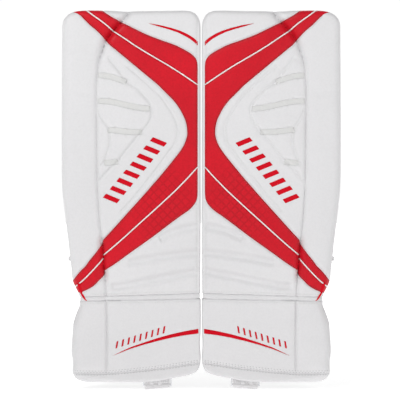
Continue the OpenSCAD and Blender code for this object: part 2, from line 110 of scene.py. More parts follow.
# Depth of the front and the rear of the pad at each height (mm).
FRONT = [(-5, -85.5), (0, -84), (28, -76.5), (60, -68), (100, -59), (135, -53), (161, -50.4),
         (173, -50.4), (230, -55), (300, -60), (400, -64), (503, -66), (582, -65), (643, -62),
         (700, -57), (728, -53.5), (743, -50.5), (750, -49)]
REAR = [(-5, -47.5), (0, -46), (60, -28), (120, -16), (161, -12), (173, -12), (300, -15), (400, -18),
        (503, -20), (582, -19), (643, -17), (743, -15), (750, -15)]
ANKLE_UP = [(-50, 177.3), (3, 175.4), (222, 168.8), (300, 166.4)]
ANKLE_LO = [(-50, 165.4), (3, 164.4), (222, 160.2), (300, 158.8)]


def smooth_table(rows):
    """A monotone cubic through the rows, as dense samples."""
    x = np.array([r[0] for r in rows], float)
    y = np.array([r[1] for r in rows], float)
    d = np.diff(y) / np.diff(x)
    m = np.zeros(len(x))
    m[1:-1] = np.where(d[:-1] * d[1:] > 0, 2 * d[:-1] * d[1:] / np.where(d[:-1] + d[1:] == 0, 1, d[:-1] + d[1:]), 0)
    m[0], m[-1] = d[0], d[-1]
    xs = np.linspace(x[0], x[-1], 900)
    i = np.clip(np.searchsorted(x, xs, "right") - 1, 0, len(x) - 2)
    h = x[i + 1] - x[i]
    t = (xs - x[i]) / h
    ys = ((2 * t**3 - 3 * t**2 + 1) * y[i] + (t**3 - 2 * t**2 + t) * h * m[i]
          + (-2 * t**3 + 3 * t**2) * y[i + 1] + (t**3 - t**2) * h * m[i + 1])
    return xs, ys


_F, _R = smooth_table(FRONT), smooth_table(REAR)
_O = smooth_table(sorted((z, x) for x, z in OUTER))


def yfront(z):
    return np.interp(z, *_F)


def yrear(z):
    return np.interp(z, *_R)


def x_out(z):
    return np.interp(z, *_O)


def x_in(z):
    return np.interp(z, [0, 49, 62, 77, 92, 103, 130, 158, 165, 175, 190, 300, 745], [3.0, 1.3, 1.9, 2.5, 1.6, 1.1, 0.8, 0.9, 1.8, 1.8, 1.5, 1.3, 1.5])


def lerp(a, b, t):
    return a + (b - a) * t


def smoothstep(a, b, v):
    t = np.clip((v - a) / (b - a), 0, 1)
    return t * t * (3 - 2 * t)


def catmull(pts, step, closed=False):
    """A smooth polyline through pts, sampled about every step."""
    p = np.array(pts, float)
    n = len(p)
    if closed:
        q = np.vstack([p[-1], p, p[:2]])
        segs = n
    else:
        q = np.vstack([2 * p[0] - p[1], p, 2 * p[-1] - p[-2]])
        segs = n - 1
    out = []
    for i in range(segs):
        a, b, c, d = q[i:i + 4]
        k = max(2, int(np.linalg.norm(c - b) / 1.0))
        t0, t1 = 0.0, max(np.linalg.norm(b - a), 1e-6) ** 0.5
        t2 = t1 + max(np.linalg.norm(c - b), 1e-6) ** 0.5
        t3 = t2 + max(np.linalg.norm(d - c), 1e-6) ** 0.5
        for t in np.linspace(t1, t2, k, endpoint=False):
            a1 = (t1 - t) / (t1 - t0) * a + (t - t0) / (t1 - t0) * b
            a2 = (t2 - t) / (t2 - t1) * b + (t - t1) / (t2 - t1) * c
            a3 = (t3 - t) / (t3 - t2) * c + (t - t2) / (t3 - t2) * d
            b1 = (t2 - t) / (t2 - t0) * a1 + (t - t0) / (t2 - t0) * a2
            b2 = (t3 - t) / (t3 - t1) * a2 + (t - t1) / (t3 - t1) * a3
            out.append((t2 - t) / (t2 - t1) * b1 + (t - t1) / (t2 - t1) * b2)
    if not closed:
        out.append(p[-1])
    return resample(np.array(out), step, closed)


def resample(p, step, closed=False):
    if closed:
        p = np.vstack([p, p[:1]])
    s = np.r_[0, np.cumsum(np.linalg.norm(np.diff(p, axis=0), axis=1))]
    n = max(2, int(round(s[-1] / step)) + 1)
    t = np.linspace(0, s[-1], n)
    out = np.column_stack([np.interp(t, s, p[:, k]) for k in range(p.shape[1])])
    return out[:-1] if closed else out


def seg_dist(P, line, closed=False, want=False):
    """Distance from each point to a polyline; with want, also the nearest segment."""
    A = line if closed else line[:-1]
    B = np.roll(line, -1, axis=0) if closed else line[1:]
    D = B - A
    L2 = np.maximum((D**2).sum(1), 1e-12)
    best = np.full(len(P), 1e9)
    idx = np.zeros(len(P), int)
    for s in range(0, len(P), 4000):
        Q = P[s:s + 4000]
        t = np.clip(((Q[:, None, 0] - A[:, 0]) * D[:, 0] + (Q[:, None, 1] - A[:, 1]) * D[:, 1]) / L2, 0, 1)
        dx = Q[:, None, 0] - (A[:, 0] + t * D[:, 0])
        dy = Q[:, None, 1] - (A[:, 1] + t * D[:, 1])
        d = dx * dx + dy * dy
        j = d.argmin(1)
        idx[s:s + 4000] = j
        best[s:s + 4000] = np.sqrt(d[np.arange(len(Q)), j])
    return (best, idx) if want else best


def inside(P, poly):
    x, y = P[:, 0], P[:, 1]
    a, b = poly, np.roll(poly, -1, axis=0)
    hit = np.zeros(len(P), bool)
    for (x0, y0), (x1, y1) in zip(a, b):
        if y0 == y1:
            continue
        cond = (y0 > y) != (y1 > y)
        hit ^= cond & (x < (x1 - x0) * (y - y0) / (y1 - y0) + x0)
    return hit


def offset_line(line, d):
    t = np.gradient(line, axis=0)
    t /= np.maximum(np.linalg.norm(t, axis=1, keepdims=True), 1e-9)
    return line + np.column_stack([-t[:, 1], t[:, 0]]) * d


def wobble(P, scale, seed=0.0):
    """Smooth noise made of a few sines, the same each run."""
    x, z = P[:, 0] / scale, P[:, 1] / scale
    return (np.sin(x * 1.9 + 1.3 * np.sin(z * 1.1 + seed) + seed * 2.1) * np.sin(z * 1.7 - 0.9 * np.sin(x * 1.3 + seed * 1.7))
            + 0.5 * np.sin(x * 3.7 + z * 2.9 + seed) * np.sin(z * 4.3 - x * 2.2 + 2 * seed)) / 1.5


# ------------------------------------------------------------ mesh tools
def add_mesh(name, V, F, smooth=True):
    me = bpy.data.meshes.new(name)
    me.from_pydata([tuple(float(c) * MM for c in v) for v in V], [], [tuple(int(i) for i in f) for f in F])
    me.validate()
    me.update()
    ob = bpy.data.objects.new(name, me)
    bpy.context.scene.collection.objects.link(ob)
    if smooth:
        for p in me.polygons:
            p.use_smooth = True
    return ob


def vertex_normals(V, F):
    n = np.zeros_like(V)
    F = np.asarray(F)
    a, b, c = V[F[:, 0]], V[F[:, 1]], V[F[:, 2]]
    fn = np.cross(b - a, c - a)
    for k in range(3):
        np.add.at(n, F[:, k], fn)
    return n / np.maximum(np.linalg.norm(n, axis=1, keepdims=True), 1e-12)


def shell(V, F, N, thick):
    """A closed skin: the faces F, their copies set back along N, and a rim."""
    F = np.asarray(F)
    used, inv = np.unique(F, return_inverse=True)
    F = inv.reshape(F.shape)
    V, N = V[used], N[used]
    n = len(V)
    back = V - N * thick
    edges = {}
    for f in F:
        for k in range(3):
            e = (f[k], f[(k + 1) % 3])
            edges[e] = edges.get(e, 0) + 1
    rim = [(a, b) for (a, b) in edges if (b, a) not in edges]
    faces = [tuple(f) for f in F] + [tuple(f[::-1] + n) for f in F]
    faces += [(b, a, a + n, b + n) for a, b in rim]
    return np.vstack([V, back]), faces


def flip(V, F):
    """The mirror image for the other pad."""
    V = np.array(V, float) * np.array([-1, 1, 1])
    return V, [tuple(f[::-1]) for f in F]


SIDES = ("left", "right")
MATS = {}


def piece(name, V, F, body, mat, node=(), blend=None, smooth=True, sides=SIDES, post=None):
    """One piece for each pad. body and node are given without their left_ or right_; blend, when given, only leaves the
    piece unparented in world space, and its bodies and zone are not used.
    """
    made = []
    for s in sides:
        v, f = (V, F) if s == "left" else flip(V, F)
        ob = add_mesh(f"{s}_{name}", v, f, smooth)
        if post:
            post(ob)
        ob.data.materials.append(MATS[mat])
        if blend:
            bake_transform(ob)
        else:
            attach(ob, f"{s}_{body}")
        for n in node:
            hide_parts(f"{s}_{n}")
        made.append(ob)
    return made


def sharpen(ob, angle=40):
    """Marks hard edges sharp, so that smooth shading stays clean."""
    me = ob.data
    bm = bmesh.new()
    bm.from_mesh(me)
    for e in bm.edges:
        if len(e.link_faces) == 2 and e.calc_face_angle(0) > math.radians(angle):
            e.smooth = False
    bm.to_mesh(me)
    bm.free()


# ---------------------------------------------------------- front skins
UP = lambda x: np.interp(x, [p[0] for p in ANKLE_UP], [p[1] for p in ANKLE_UP])
LO = lambda x: np.interp(x, [p[0] for p in ANKLE_LO], [p[1] for p in ANKLE_LO])
A = {k: np.array(v, float) for k, v in dict(
    IN_FACE=IN_FACE, IN_ROLL=IN_ROLL, OUT_TOP=OUT_TOP, OUT_LOW=OUT_LOW, OUT_ROLL=OUT_ROLL, PIPE_UP=PIPE_UP,
    PIPE_LOW=PIPE_LOW, PIPE_ROLL=PIPE_ROLL, CREASE=CREASE, SWOOSH=SWOOSH, BOOT_SWOOSH=BOOT_SWOOSH, G1=G1, G2=G2,
    G3=G3, G4=G4, CONTOUR_R=CONTOUR_R, CONTOUR_L=CONTOUR_L, OFFSET=OFFSET, S1=S1, S2=S2, S3=S3, BIND=BIND,
    BOOT_CREASE=BOOT_CREASE).items()}
C = {k: catmull(v, 2.2) for k, v in A.items() if k not in ("SWOOSH", "BOOT_SWOOSH")}
C["CREASE"] = catmull(CREASE, 2.0)
C["BOOT_CREASE"] = catmull(BOOT_CREASE, 2.0)
crease_x_tab = (C["CREASE"][::-1, 1], C["CREASE"][::-1, 0])


def upper_outline():
    z0 = np.linspace(0, 1, 60)
    outer = [(x, z) for x, z in OUTER if z > 172]
    side_out = catmull([(x_out(UP(245)), UP(245))] + outer, 2.2)
    top = catmull([outer[-1]] + TOP + [INNER[0]], 2.0)
    side_in = catmull([INNER[0], (1.5, 550), (1.5, 400), (1.3, 300), (1.4, 230), (1.8, UP(3))], 2.2)
    return side_out, top, side_in


def boot_outline():
    xo = float(x_out(LO(245)))
    outer = [(x, z) for x, z in OUTER if 2 < z < 159]
    side_in = catmull([(0.9, LO(3)), (0.8, 130), (1.1, 103), (1.6, 92), (2.5, 77), (1.9, 62), (1.3, 49), (2.6, 34), (5.8, 25.6), (10, 20.4), (14.5, 17.6), (22.5, 14.6),
                       (38, 11.2), (54.5, 8.4), (75, 4.4), (95, 1.6), (110, 0.6), (126, 0.2), (166, 0.1), (200, 0), (226, 0.1), (237, 1.2)], 2.0)
    side_out = catmull([(237, 1.2), (245.5, 4.2), (251, 8.6), (254.3, 13)] + [(x, z) for x, z in outer if z > 15] + [(xo, LO(245))], 2.0)
    return side_in, side_out


def radius_at(P):
    """How round the edge is: softer on the outer roll."""
    x, z = P[:, 0], P[:, 1]
    r = lerp(6.0, 15.0, smoothstep(150, 250, x))
    return np.where(z > 700, lerp(r, 10.0, smoothstep(700, 735, z)), r)


def clean(P, keep, dist):
    return P[keep(P) > dist]


def build_skin(chain, loop_tail, creases, regions, lines, marks, height, fine_near, name):
    """Triangulates a front panel over its outline.

    chain is the rounded edge that walls hang from, loop_tail closes the outline where there is no wall.
    regions is a list of (id, polygon); lines are extra lines that edges must follow."""
    outline = np.vstack([chain, loop_tail[1:-1]])
    # the edge's inward normals
    t = np.gradient(chain, axis=0)
    t /= np.linalg.norm(t, axis=1, keepdims=True)
    nrm = np.column_stack([-t[:, 1], t[:, 0]])
    mid = outline.mean(0)
    if ((mid - chain[len(chain) // 2]) @ nrm[len(chain) // 2]) < 0:
        nrm = -nrm
    R = radius_at(chain)
    rows = []
    for phi in (16, 32, 48, 64, 78):
        rows.append(chain + nrm * (R * (1 - math.cos(math.radians(phi))))[:, None])
    rows = np.vstack(rows)
    rows = rows[inside(rows, outline)]
    rd = seg_dist(rows, chain)
    # distances and wanted insets for dropping rows that fold over at tight corners, worked out but not used
    want = np.concatenate([R * (1 - math.cos(math.radians(p))) for p in (16, 32, 48, 64, 78)])
    lo, hi = outline.min(0), outline.max(0)
    near = [np.array(l) for l in fine_near]

    def grid(step):
        xs = np.arange(lo[0] + step / 2, hi[0], step)
        zs = np.arange(lo[1] + step / 2, hi[1], step * 0.866)
        g = np.array([(x + (step / 2 if k % 2 else 0), z) for k, z in enumerate(zs) for x in xs])
        return g[inside(g, outline)]

    fine, coarse = grid(2.3), grid(4.4)
    allnear = lambda P: np.min([seg_dist(P, l) for l in near], axis=0)
    dn = allnear(fine)
    fine = fine[dn < 7.5]
    coarse = coarse[allnear(coarse) >= 7.5]
    pts = np.vstack([fine, coarse])
    dc = seg_dist(pts, chain)
    Rp = radius_at(pts)
    pts = pts[dc > Rp * 0.86]
    cons = [np.array(l) for _, l in regions] + [np.array(l) for l in lines]
    dl = seg_dist(pts, loop_tail)
    for l in cons:
        dl = np.minimum(dl, seg_dist(pts, l))
    pts = pts[dl > 0.95]
    dr = np.full(len(rows), 1e9)
    for l in cons:
        dr = np.minimum(dr, seg_dist(rows, l))
    rows = rows[(dr > 0.55) & (seg_dist(rows, loop_tail) > 0.5)]
    verts, edges = [], []

    def put(line, closed):
        base = len(verts)
        verts.extend(map(tuple, line))
        k = len(line)
        edges.extend((base + i, base + i + 1) for i in range(k - 1))
        if closed:
            edges.append((base + k - 1, base))

    put(outline, True)
    for _, l in regions:
        put(l, True)
    for l in lines:
        put(l, False)
    verts.extend(map(tuple, rows))
    verts.extend(map(tuple, pts))
    res = geometry.delaunay_2d_cdt([Vector(v) for v in verts], edges, [], 0, 0.02)
    P = np.array([(v.x, v.y) for v in res[0]])
    T = np.array([f for f in res[2] if len(f) == 3])
    cen = P[T].mean(1)
    T = T[inside(cen, outline)]
    a, b, c = P[T[:, 0]], P[T[:, 1]], P[T[:, 2]]
    area = (b[:, 0] - a[:, 0]) * (c[:, 1] - a[:, 1]) - (b[:, 1] - a[:, 1]) * (c[:, 0] - a[:, 0])
    T = T[np.abs(area) > 1e-4]
    area = area[np.abs(area) > 1e-4]
    T[area < 0] = T[area < 0][:, ::-1]
    # seen from -Y, a front face turns counterclockwise in (x, z)
    used, inv = np.unique(T, return_inverse=True)
    T = inv.reshape(T.shape)
    P = P[used]
    cen = P[T].mean(1)
    rid = np.zeros(len(T), int)
    for k, poly in regions:
        rid[inside(cen, poly)] = k
    Y = height(P)
    V = np.column_stack([P[:, 0], Y, P[:, 1]])
    return V, T, rid, P


def add_walls(V, T, rid, P, chain, depth_fn=None):
    """Hangs the side walls on the rounded edge and returns the joined mesh."""
    d, idx = seg_dist(P, chain, want=True)
    edge_of = {}
    for ti, t in enumerate(T):
        for k in range(3):
            e = (t[k], t[(k + 1) % 3])
            edge_of[e] = ti
    rim = [(a, b) for (a, b) in edge_of if (b, a) not in edge_of and d[a] < 0.05 and d[b] < 0.05]
    step = dict(rim)
    starts = set(step) - set(step.values())
    if not starts:
        return V, T, rid
    cur = starts.pop()
    order = [cur]
    while order[-1] in step:
        order.append(step[order[-1]])
    B = V[order]
    flat = B[:, [0, 2]]
    t = np.gradient(flat, axis=0)
    t /= np.maximum(np.linalg.norm(t, axis=1, keepdims=True), 1e-9)
    out = np.column_stack([t[:, 1], -t[:, 0]])
    if (flat[len(flat) // 4] - flat.mean(0)) @ out[len(flat) // 4] < 0:
        out = -out
    rear = yrear(B[:, 2])
    rows = []
    prof = [(0.12, 0.5), (0.28, 1.0), (0.48, 1.3), (0.68, 1.1), (0.86, 0.5), (0.95, -0.2)]
    lean = np.where(B[:, 0] < 30, 1.0, 0.0) * np.clip(-out[:, 0], 0, 1)
    for w, bulge in prof:
        y = lerp(B[:, 1], rear, w)
        q = flat + out * (bulge * (1 - lean) - lean * (0.25 + 1.1 * w))[:, None]
        rows.append(np.column_stack([q[:, 0], y, q[:, 1]]))
    for inn, y in ((1.6, 0.0), (4.0, 0.9), (9.0, 1.0)):
        q = flat - out * inn
        rows.append(np.column_stack([q[:, 0], rear - 0.6 + y, q[:, 1]]))
    n0, m = len(V), len(order)
    W = np.vstack(rows)
    F, ids = [], []
    for r in range(len(rows)):
        for i in range(m - 1):
            lo_a = order[i] if r == 0 else n0 + (r - 1) * m + i
            lo_b = order[i + 1] if r == 0 else n0 + (r - 1) * m + i + 1
            hi_a, hi_b = n0 + r * m + i, n0 + r * m + i + 1
            ti = edge_of.get((order[i], order[i + 1]))
            k = rid[ti]
            F += [(lo_b, lo_a, hi_a), (lo_b, hi_a, hi_b)]
            ids += [k, k]
    V2 = np.vstack([V, W])
    T2 = np.vstack([T, np.array(F)])
    return V2, T2, np.concatenate([rid, ids])


def edge_drop(P, chain):
    d, idx = seg_dist(P, chain, want=True)
    R = radius_at(P)
    u = np.clip(1 - d / R, 0, 1)
    return R * (1 - np.sqrt(np.maximum(1 - u * u, 0)))


def groove(P, line, depth, width):
    return depth * np.exp(-(seg_dist(P, line) / width) ** 2)


def channel(P, line, depth, half, soft):
    """A flat bottomed channel whose ends fade."""
    d, idx = seg_dist(P, line, want=True)
    s = idx / max(len(line) - 1, 1)
    fade = smoothstep(0, 0.08, s) * (1 - 0.6 * smoothstep(0.93, 1.0, s))
    return depth * (1 - smoothstep(half - soft, half + soft, d)) * np.maximum(fade, 0.25)


def crease_drop(P, line, dface, wface, droll, wroll, strong=None):
    d, idx = seg_dist(P, line, want=True)
    cx = np.interp(P[:, 1], line[::-1, 1] if line[0, 1] > line[-1, 1] else line[:, 1],
                   line[::-1, 0] if line[0, 1] > line[-1, 1] else line[:, 0])
    on_roll = P[:, 0] > cx
    w = np.where(on_roll, wroll, wface)
    D = np.where(on_roll, droll, dface)
    if strong is not None:
        w = w * (1 + 1.2 * strong)
        D = D * (1 + 2.9 * strong)
    u = np.clip(1 - d / w, 0, 1)
    return D * u ** 2.3 + 1.5 * np.exp(-(d / 1.3) ** 2), on_roll, cx


UPPER_OUT, UPPER_TOP, UPPER_IN = upper_outline()
UPPER_CHAIN = np.vstack([UPPER_OUT, UPPER_TOP[1:], UPPER_IN[1:]])
tail_x = np.linspace(UPPER_CHAIN[-1, 0], UPPER_CHAIN[0, 0], 110)
UPPER_TAIL = np.column_stack([tail_x, UP(tail_x)])
UPPER_TAIL[0], UPPER_TAIL[-1] = UPPER_CHAIN[-1], UPPER_CHAIN[0]

# the red chevron, as one region on the face and one on the roll
cre = C["CREASE"]


def cut_crease(z):
    return float(np.interp(z, *crease_x_tab))


def joined(*parts):
    return resample(np.vstack(parts), 2.0, closed=True)


z_face_lo, z_face_out = 277.0, 222.0
crease_part = cre[(cre[:, 1] <= z_face_lo) & (cre[:, 1] >= z_face_out)]
EDGE_X = 7.2
in_top = np.vstack([[(300, 800)], [(233, 760)], C["IN_FACE"]])
in_top = C["IN_FACE"]
# the chevron on the face and on the roll above the knee
RED = joined(np.array([(292, 742), (262, 742), (248, 736.5)]), in_top, [(cut_crease(277.5), 277.5)], crease_part,
             [(cut_crease(221.8), 221.8)], C["OUT_LOW"][::-1],
             np.column_stack([np.full(60, EDGE_X), np.linspace(362, 645, 60)]), C["OUT_TOP"][::-1],
             np.array([(215, 757), (262, 765), (300, 765)]))
for _ in range(34):
    soft_red = 0.5 * RED + 0.25 * (np.roll(RED, 1, 0) + np.roll(RED, -1, 0))
    for c_z in (362, 645):
        near_c = (1 - smoothstep(9, 17, np.hypot(RED[:, 0] - EDGE_X, RED[:, 1] - c_z)))[:, None]
        RED = RED * (1 - near_c) + soft_red * near_c
RED_ROLL = joined(C["IN_ROLL"][1:], [(300, 190)], [(300, 168)], C["OUT_ROLL"][::-1],
                  [(cut_crease(215.4), 215.4)], cre[(cre[:, 1] > 216) & (cre[:, 1] < 270)][::-1], [(cut_crease(271.5), 271.5)])


def strip(line, half):
    return joined(offset_line(line, half), offset_line(line, -half)[::-1])


PIPE_HALF = 1.3
pipe_up = catmull(PIPE_UP, 2.0)
pipe_low = catmull(PIPE_LOW, 2.0)
pipe_roll = catmull(PIPE_ROLL, 2.0)
pipe_up[-1, 0] = pipe_low[0, 0] = EDGE_X - 0.4
swoosh = resample(np.array(SWOOSH, float), 2.0, closed=True)
boot_swoosh = resample(np.array(BOOT_SWOOSH, float), 1.8, closed=True)
bars = [resample(np.array(b, float), 1.8, closed=True) for b in BARS]
boot_bars = [resample(np.array(b, float), 1.4, closed=True) for b in BOOT_BARS]
EDGE_STRIP = joined(np.array([(EDGE_X, 150), (EDGE_X, 730), (-20, 760), (-20, 150)]))

SEAMS = [C["IN_FACE"], C["IN_ROLL"], C["OUT_TOP"], C["OUT_LOW"], C["OUT_ROLL"]]
CHANNELS = [C["G1"], C["G2"], C["G3"], C["G4"]]
SHIN = [C["S1"], C["S2"], C["S3"]]
CONTOURS = [C["CONTOUR_R"], C["CONTOUR_L"], C["OFFSET"]]


def face_mask(P, on_roll):
    return np.where(on_roll, 0.0, 1.0)


def upper_height(P):
    y = yfront(P[:, 1])
    y = y + edge_drop(P, UPPER_CHAIN)
    z = P[:, 1]
    strong = np.maximum(smoothstep(610, 680, z), smoothstep(190, 214, z) * (1 - smoothstep(276, 300, z)))
    cd, on_roll, cx = crease_drop(P, cre, 2.2, 6, 3.1, 8.5, strong)
    y = y + cd
    xo, xi = x_out(P[:, 1]), x_in(P[:, 1])
    # crown of the roll and of the face
    u = np.clip((P[:, 0] - cx) / np.maximum(xo - cx, 1), 0, 1)
    y = y - np.where(on_roll, 3.6 * np.clip(4 * u * (1 - u), 0, 1) ** 0.7, 0)
    v = np.clip((P[:, 0] - xi) / np.maximum(cx - xi, 1), 0, 1)
    y = y - np.where(on_roll, 0, 2.0 * np.clip(4 * v * (1 - v), 0, 1))
    m = face_mask(P, on_roll)
    inner_panel = inside(P, INNER_PANEL)
    dpanel = seg_dist(P, INNER_PANEL, closed=True)
    y = y - np.where(inner_panel, 1.8 * smoothstep(0, 7, dpanel), 0) * m
    for l in SEAMS:
        y = y + groove(P, l, 1.5, 1.7) + groove(P, l, 0.9, 5.5)
    for l in (pipe_up, pipe_low, pipe_roll):
        d = seg_dist(P, l)
        y = y + 0.9 * np.exp(-((d - PIPE_HALF - 0.3) / 1.0) ** 2) - 0.6 * (d < PIPE_HALF * 0.8)
    for l in CHANNELS:
        y = y + channel(P, l, 1.7, 5.6, 1.9) * m
    for l in SHIN:
        y = y + channel(P, l, 6.0, 6.5, 4.2) * m
    for l in CONTOURS:
        y = y + groove(P, l, 1.9, 2.3) * m
    d = np.abs(P[:, 0] - EDGE_X)
    y = y + np.where(P[:, 1] < 728, 0.8 * np.exp(-(d / 1.1) ** 2), 0)
    # the red leather rolls over the inner edge
    y = y + (1.0 + 2.6 * smoothstep(325, 372, z) * (1 - smoothstep(640, 676, z))) * (1 - smoothstep(EDGE_X - 1, EDGE_X + 8, P[:, 0]))
    for b in bars:
        y = y - 0.7 * inside(P, b)
    y = y - 0.35 * inside(P, swoosh)
    near_ankle = 1 - smoothstep(0, 40, P[:, 1] - UP(P[:, 0]))
    y = y + 2.2 * (1 - smoothstep(0, 5.5, P[:, 1] - UP(P[:, 0]))) ** 1.5
    y = y + 0.5 * wobble(P, 46, 0.4) + 0.28 * wobble(P, 19, 2.2) + 0.7 * near_ankle * wobble(P, 17, 5.0)
    # the thigh break: a soft fold across the pad
    y = y + 0.9 * np.exp(-((P[:, 1] - 578) / 7.5) ** 2) * smoothstep(0, 12, np.abs(P[:, 0] - cx)) * np.where(on_roll, 1.2, 0.35)
    return y


INNER_PANEL = joined(C["CONTOUR_R"], [(207, 410), (208, 500), (208, 600), (200, 640)])

BOOT_IN, BOOT_OUT = boot_outline()
BOOT_CHAIN = np.vstack([BOOT_IN, BOOT_OUT[1:]])
tail_x = np.linspace(BOOT_CHAIN[-1, 0], BOOT_CHAIN[0, 0], 110)
BOOT_TAIL = np.column_stack([tail_x, LO(tail_x)])
BOOT_TAIL[0], BOOT_TAIL[-1] = BOOT_CHAIN[-1], BOOT_CHAIN[0]
bind = C["BIND"]
BIND_REGION = joined(np.array([(300, 20.6)]), bind, np.array([(-30, 38), (-30, -40), (300, -40)]))
bcre = C["BOOT_CREASE"]


def boot_height(P):
    y = yfront(P[:, 1])
    y = y + edge_drop(P, BOOT_CHAIN)
    fade = smoothstep(17, 34, P[:, 1])
    cd, on_roll, cx = crease_drop(P, bcre, 2.8, 6, 3.4, 8)
    y = y + cd * lerp(0.25, 1, fade)
    xo, xi = x_out(P[:, 1]), 3.5
    u = np.clip((P[:, 0] - cx) / np.maximum(xo - cx, 1), 0, 1)
    y = y - np.where(on_roll, 3.6 * np.clip(4 * u * (1 - u), 0, 1) ** 0.7, 0) * lerp(0.4, 1, fade)
    v = np.clip((P[:, 0] - xi) / np.maximum(cx - xi, 1), 0, 1)
    y = y - np.where(on_roll, 0, 2.2 * np.clip(4 * v * (1 - v), 0, 1))
    y = y + groove(P, bind, 0.9, 1.6) + groove(P, bind, 0.7, 5)
    d = np.abs(P[:, 0] - EDGE_X)
    y = y + np.where(P[:, 1] > 30, 0.7 * np.exp(-(d / 1.1) ** 2), 0)
    for b in boot_bars:
        y = y - 0.5 * inside(P, b)
    y = y - 0.4 * inside(P, boot_swoosh)
    y = y + 2.2 * (1 - smoothstep(0, 5.5, LO(P[:, 0]) - P[:, 1])) ** 1.5
    near = 1 - smoothstep(0, 45, LO(P[:, 0]) - P[:, 1])
    y = y + 0.5 * wobble(P, 42, 3.4) + 0.25 * wobble(P, 18, 1.1) + 0.6 * near * wobble(P, 16, 4.0)
    return y


# -------------------------------------------------------------- materials
def new_material(name):
    m = bpy.data.materials.new(name)
    m.use_nodes = True
    nt = m.node_tree
    return m, nt, nt.nodes["Principled BSDF"]


def node(nt, kind, **props):
    n = nt.nodes.new(kind)
    for k, v in props.items():
        if isinstance(k, str) and hasattr(n, k):
            setattr(n, k, v)
    return n


def coords(nt, scale=(1, 1, 1), rot=(0, 0, 0)):
    tc = nt.nodes.new("ShaderNodeTexCoord")
    mp = nt.nodes.new("ShaderNodeMapping")
    mp.inputs["Scale"].default_value = scale
    mp.inputs["Rotation"].default_value = rot
    nt.links.new(tc.outputs["Object"], mp.inputs["Vector"])
    return mp.outputs["Vector"]


def noise(nt, vec, scale, detail=4, rough=0.55):
    n = nt.nodes.new("ShaderNodeTexNoise")
    n.inputs["Scale"].default_value = scale
    n.inputs["Detail"].default_value = detail
    n.inputs["Roughness"].default_value = rough
    nt.links.new(vec, n.inputs["Vector"])
    return n.outputs["Fac"]


def voronoi(nt, vec, scale, feature="F1", out="Distance"):
    n = nt.nodes.new("ShaderNodeTexVoronoi")
    n.feature = feature
    n.inputs["Scale"].default_value = scale
    nt.links.new(vec, n.inputs["Vector"])
    return n.outputs[out]


def maths(nt, op, a, b=None, c=None, clamp=False):
    n = nt.nodes.new("ShaderNodeMath")
    n.operation = op
    n.use_clamp = clamp
    for i, v in enumerate((a, b, c)):
        if v is None:
            continue
        if isinstance(v, (int, float)):
            n.inputs[i].default_value = v
        else:
            nt.links.new(v, n.inputs[i])
    return n.outputs[0]


def ramp(nt, fac, stops):
    n = nt.nodes.new("ShaderNodeValToRGB")
    el = n.color_ramp.elements
    while len(el) < len(stops):
        el.new(0.5)
    for e, (p, c) in zip(el, stops):
        e.position = p
        e.color = (*c, 1) if len(c) == 3 else c
    nt.links.new(fac, n.inputs["Fac"])
    return n.outputs["Color"]


def mixcol(nt, fac, a, b, mode="MIX"):
    n = nt.nodes.new("ShaderNodeMix")
    n.data_type = "RGBA"
    n.blend_type = mode
    if isinstance(fac, (int, float)):
        n.inputs[0].default_value = fac
    else:
        nt.links.new(fac, n.inputs[0])
    for i, v in ((6, a), (7, b)):
        if isinstance(v, tuple):
            n.inputs[i].default_value = (*v, 1)
        else:
            nt.links.new(v, n.inputs[i])
    return n.outputs[2]


def spread(nt, val, lo, hi, a=0.0, b=1.0):
    n = nt.nodes.new("ShaderNodeMapRange")
    n.inputs["From Min"].default_value = a
    n.inputs["From Max"].default_value = b
    n.inputs["To Min"].default_value = lo
    n.inputs["To Max"].default_value = hi
    nt.links.new(val, n.inputs["Value"])
    return n.outputs["Result"]


def bump(nt, height, dist, strength=0.5, normal=None):
    n = nt.nodes.new("ShaderNodeBump")
    n.inputs["Distance"].default_value = dist
    n.inputs["Strength"].default_value = strength
    nt.links.new(height, n.inputs["Height"])
    if normal is not None:
        nt.links.new(normal, n.inputs["Normal"])
    return n.outputs["Normal"]


def shade(col, k):
    return tuple(min(1.0, c * k) for c in col)


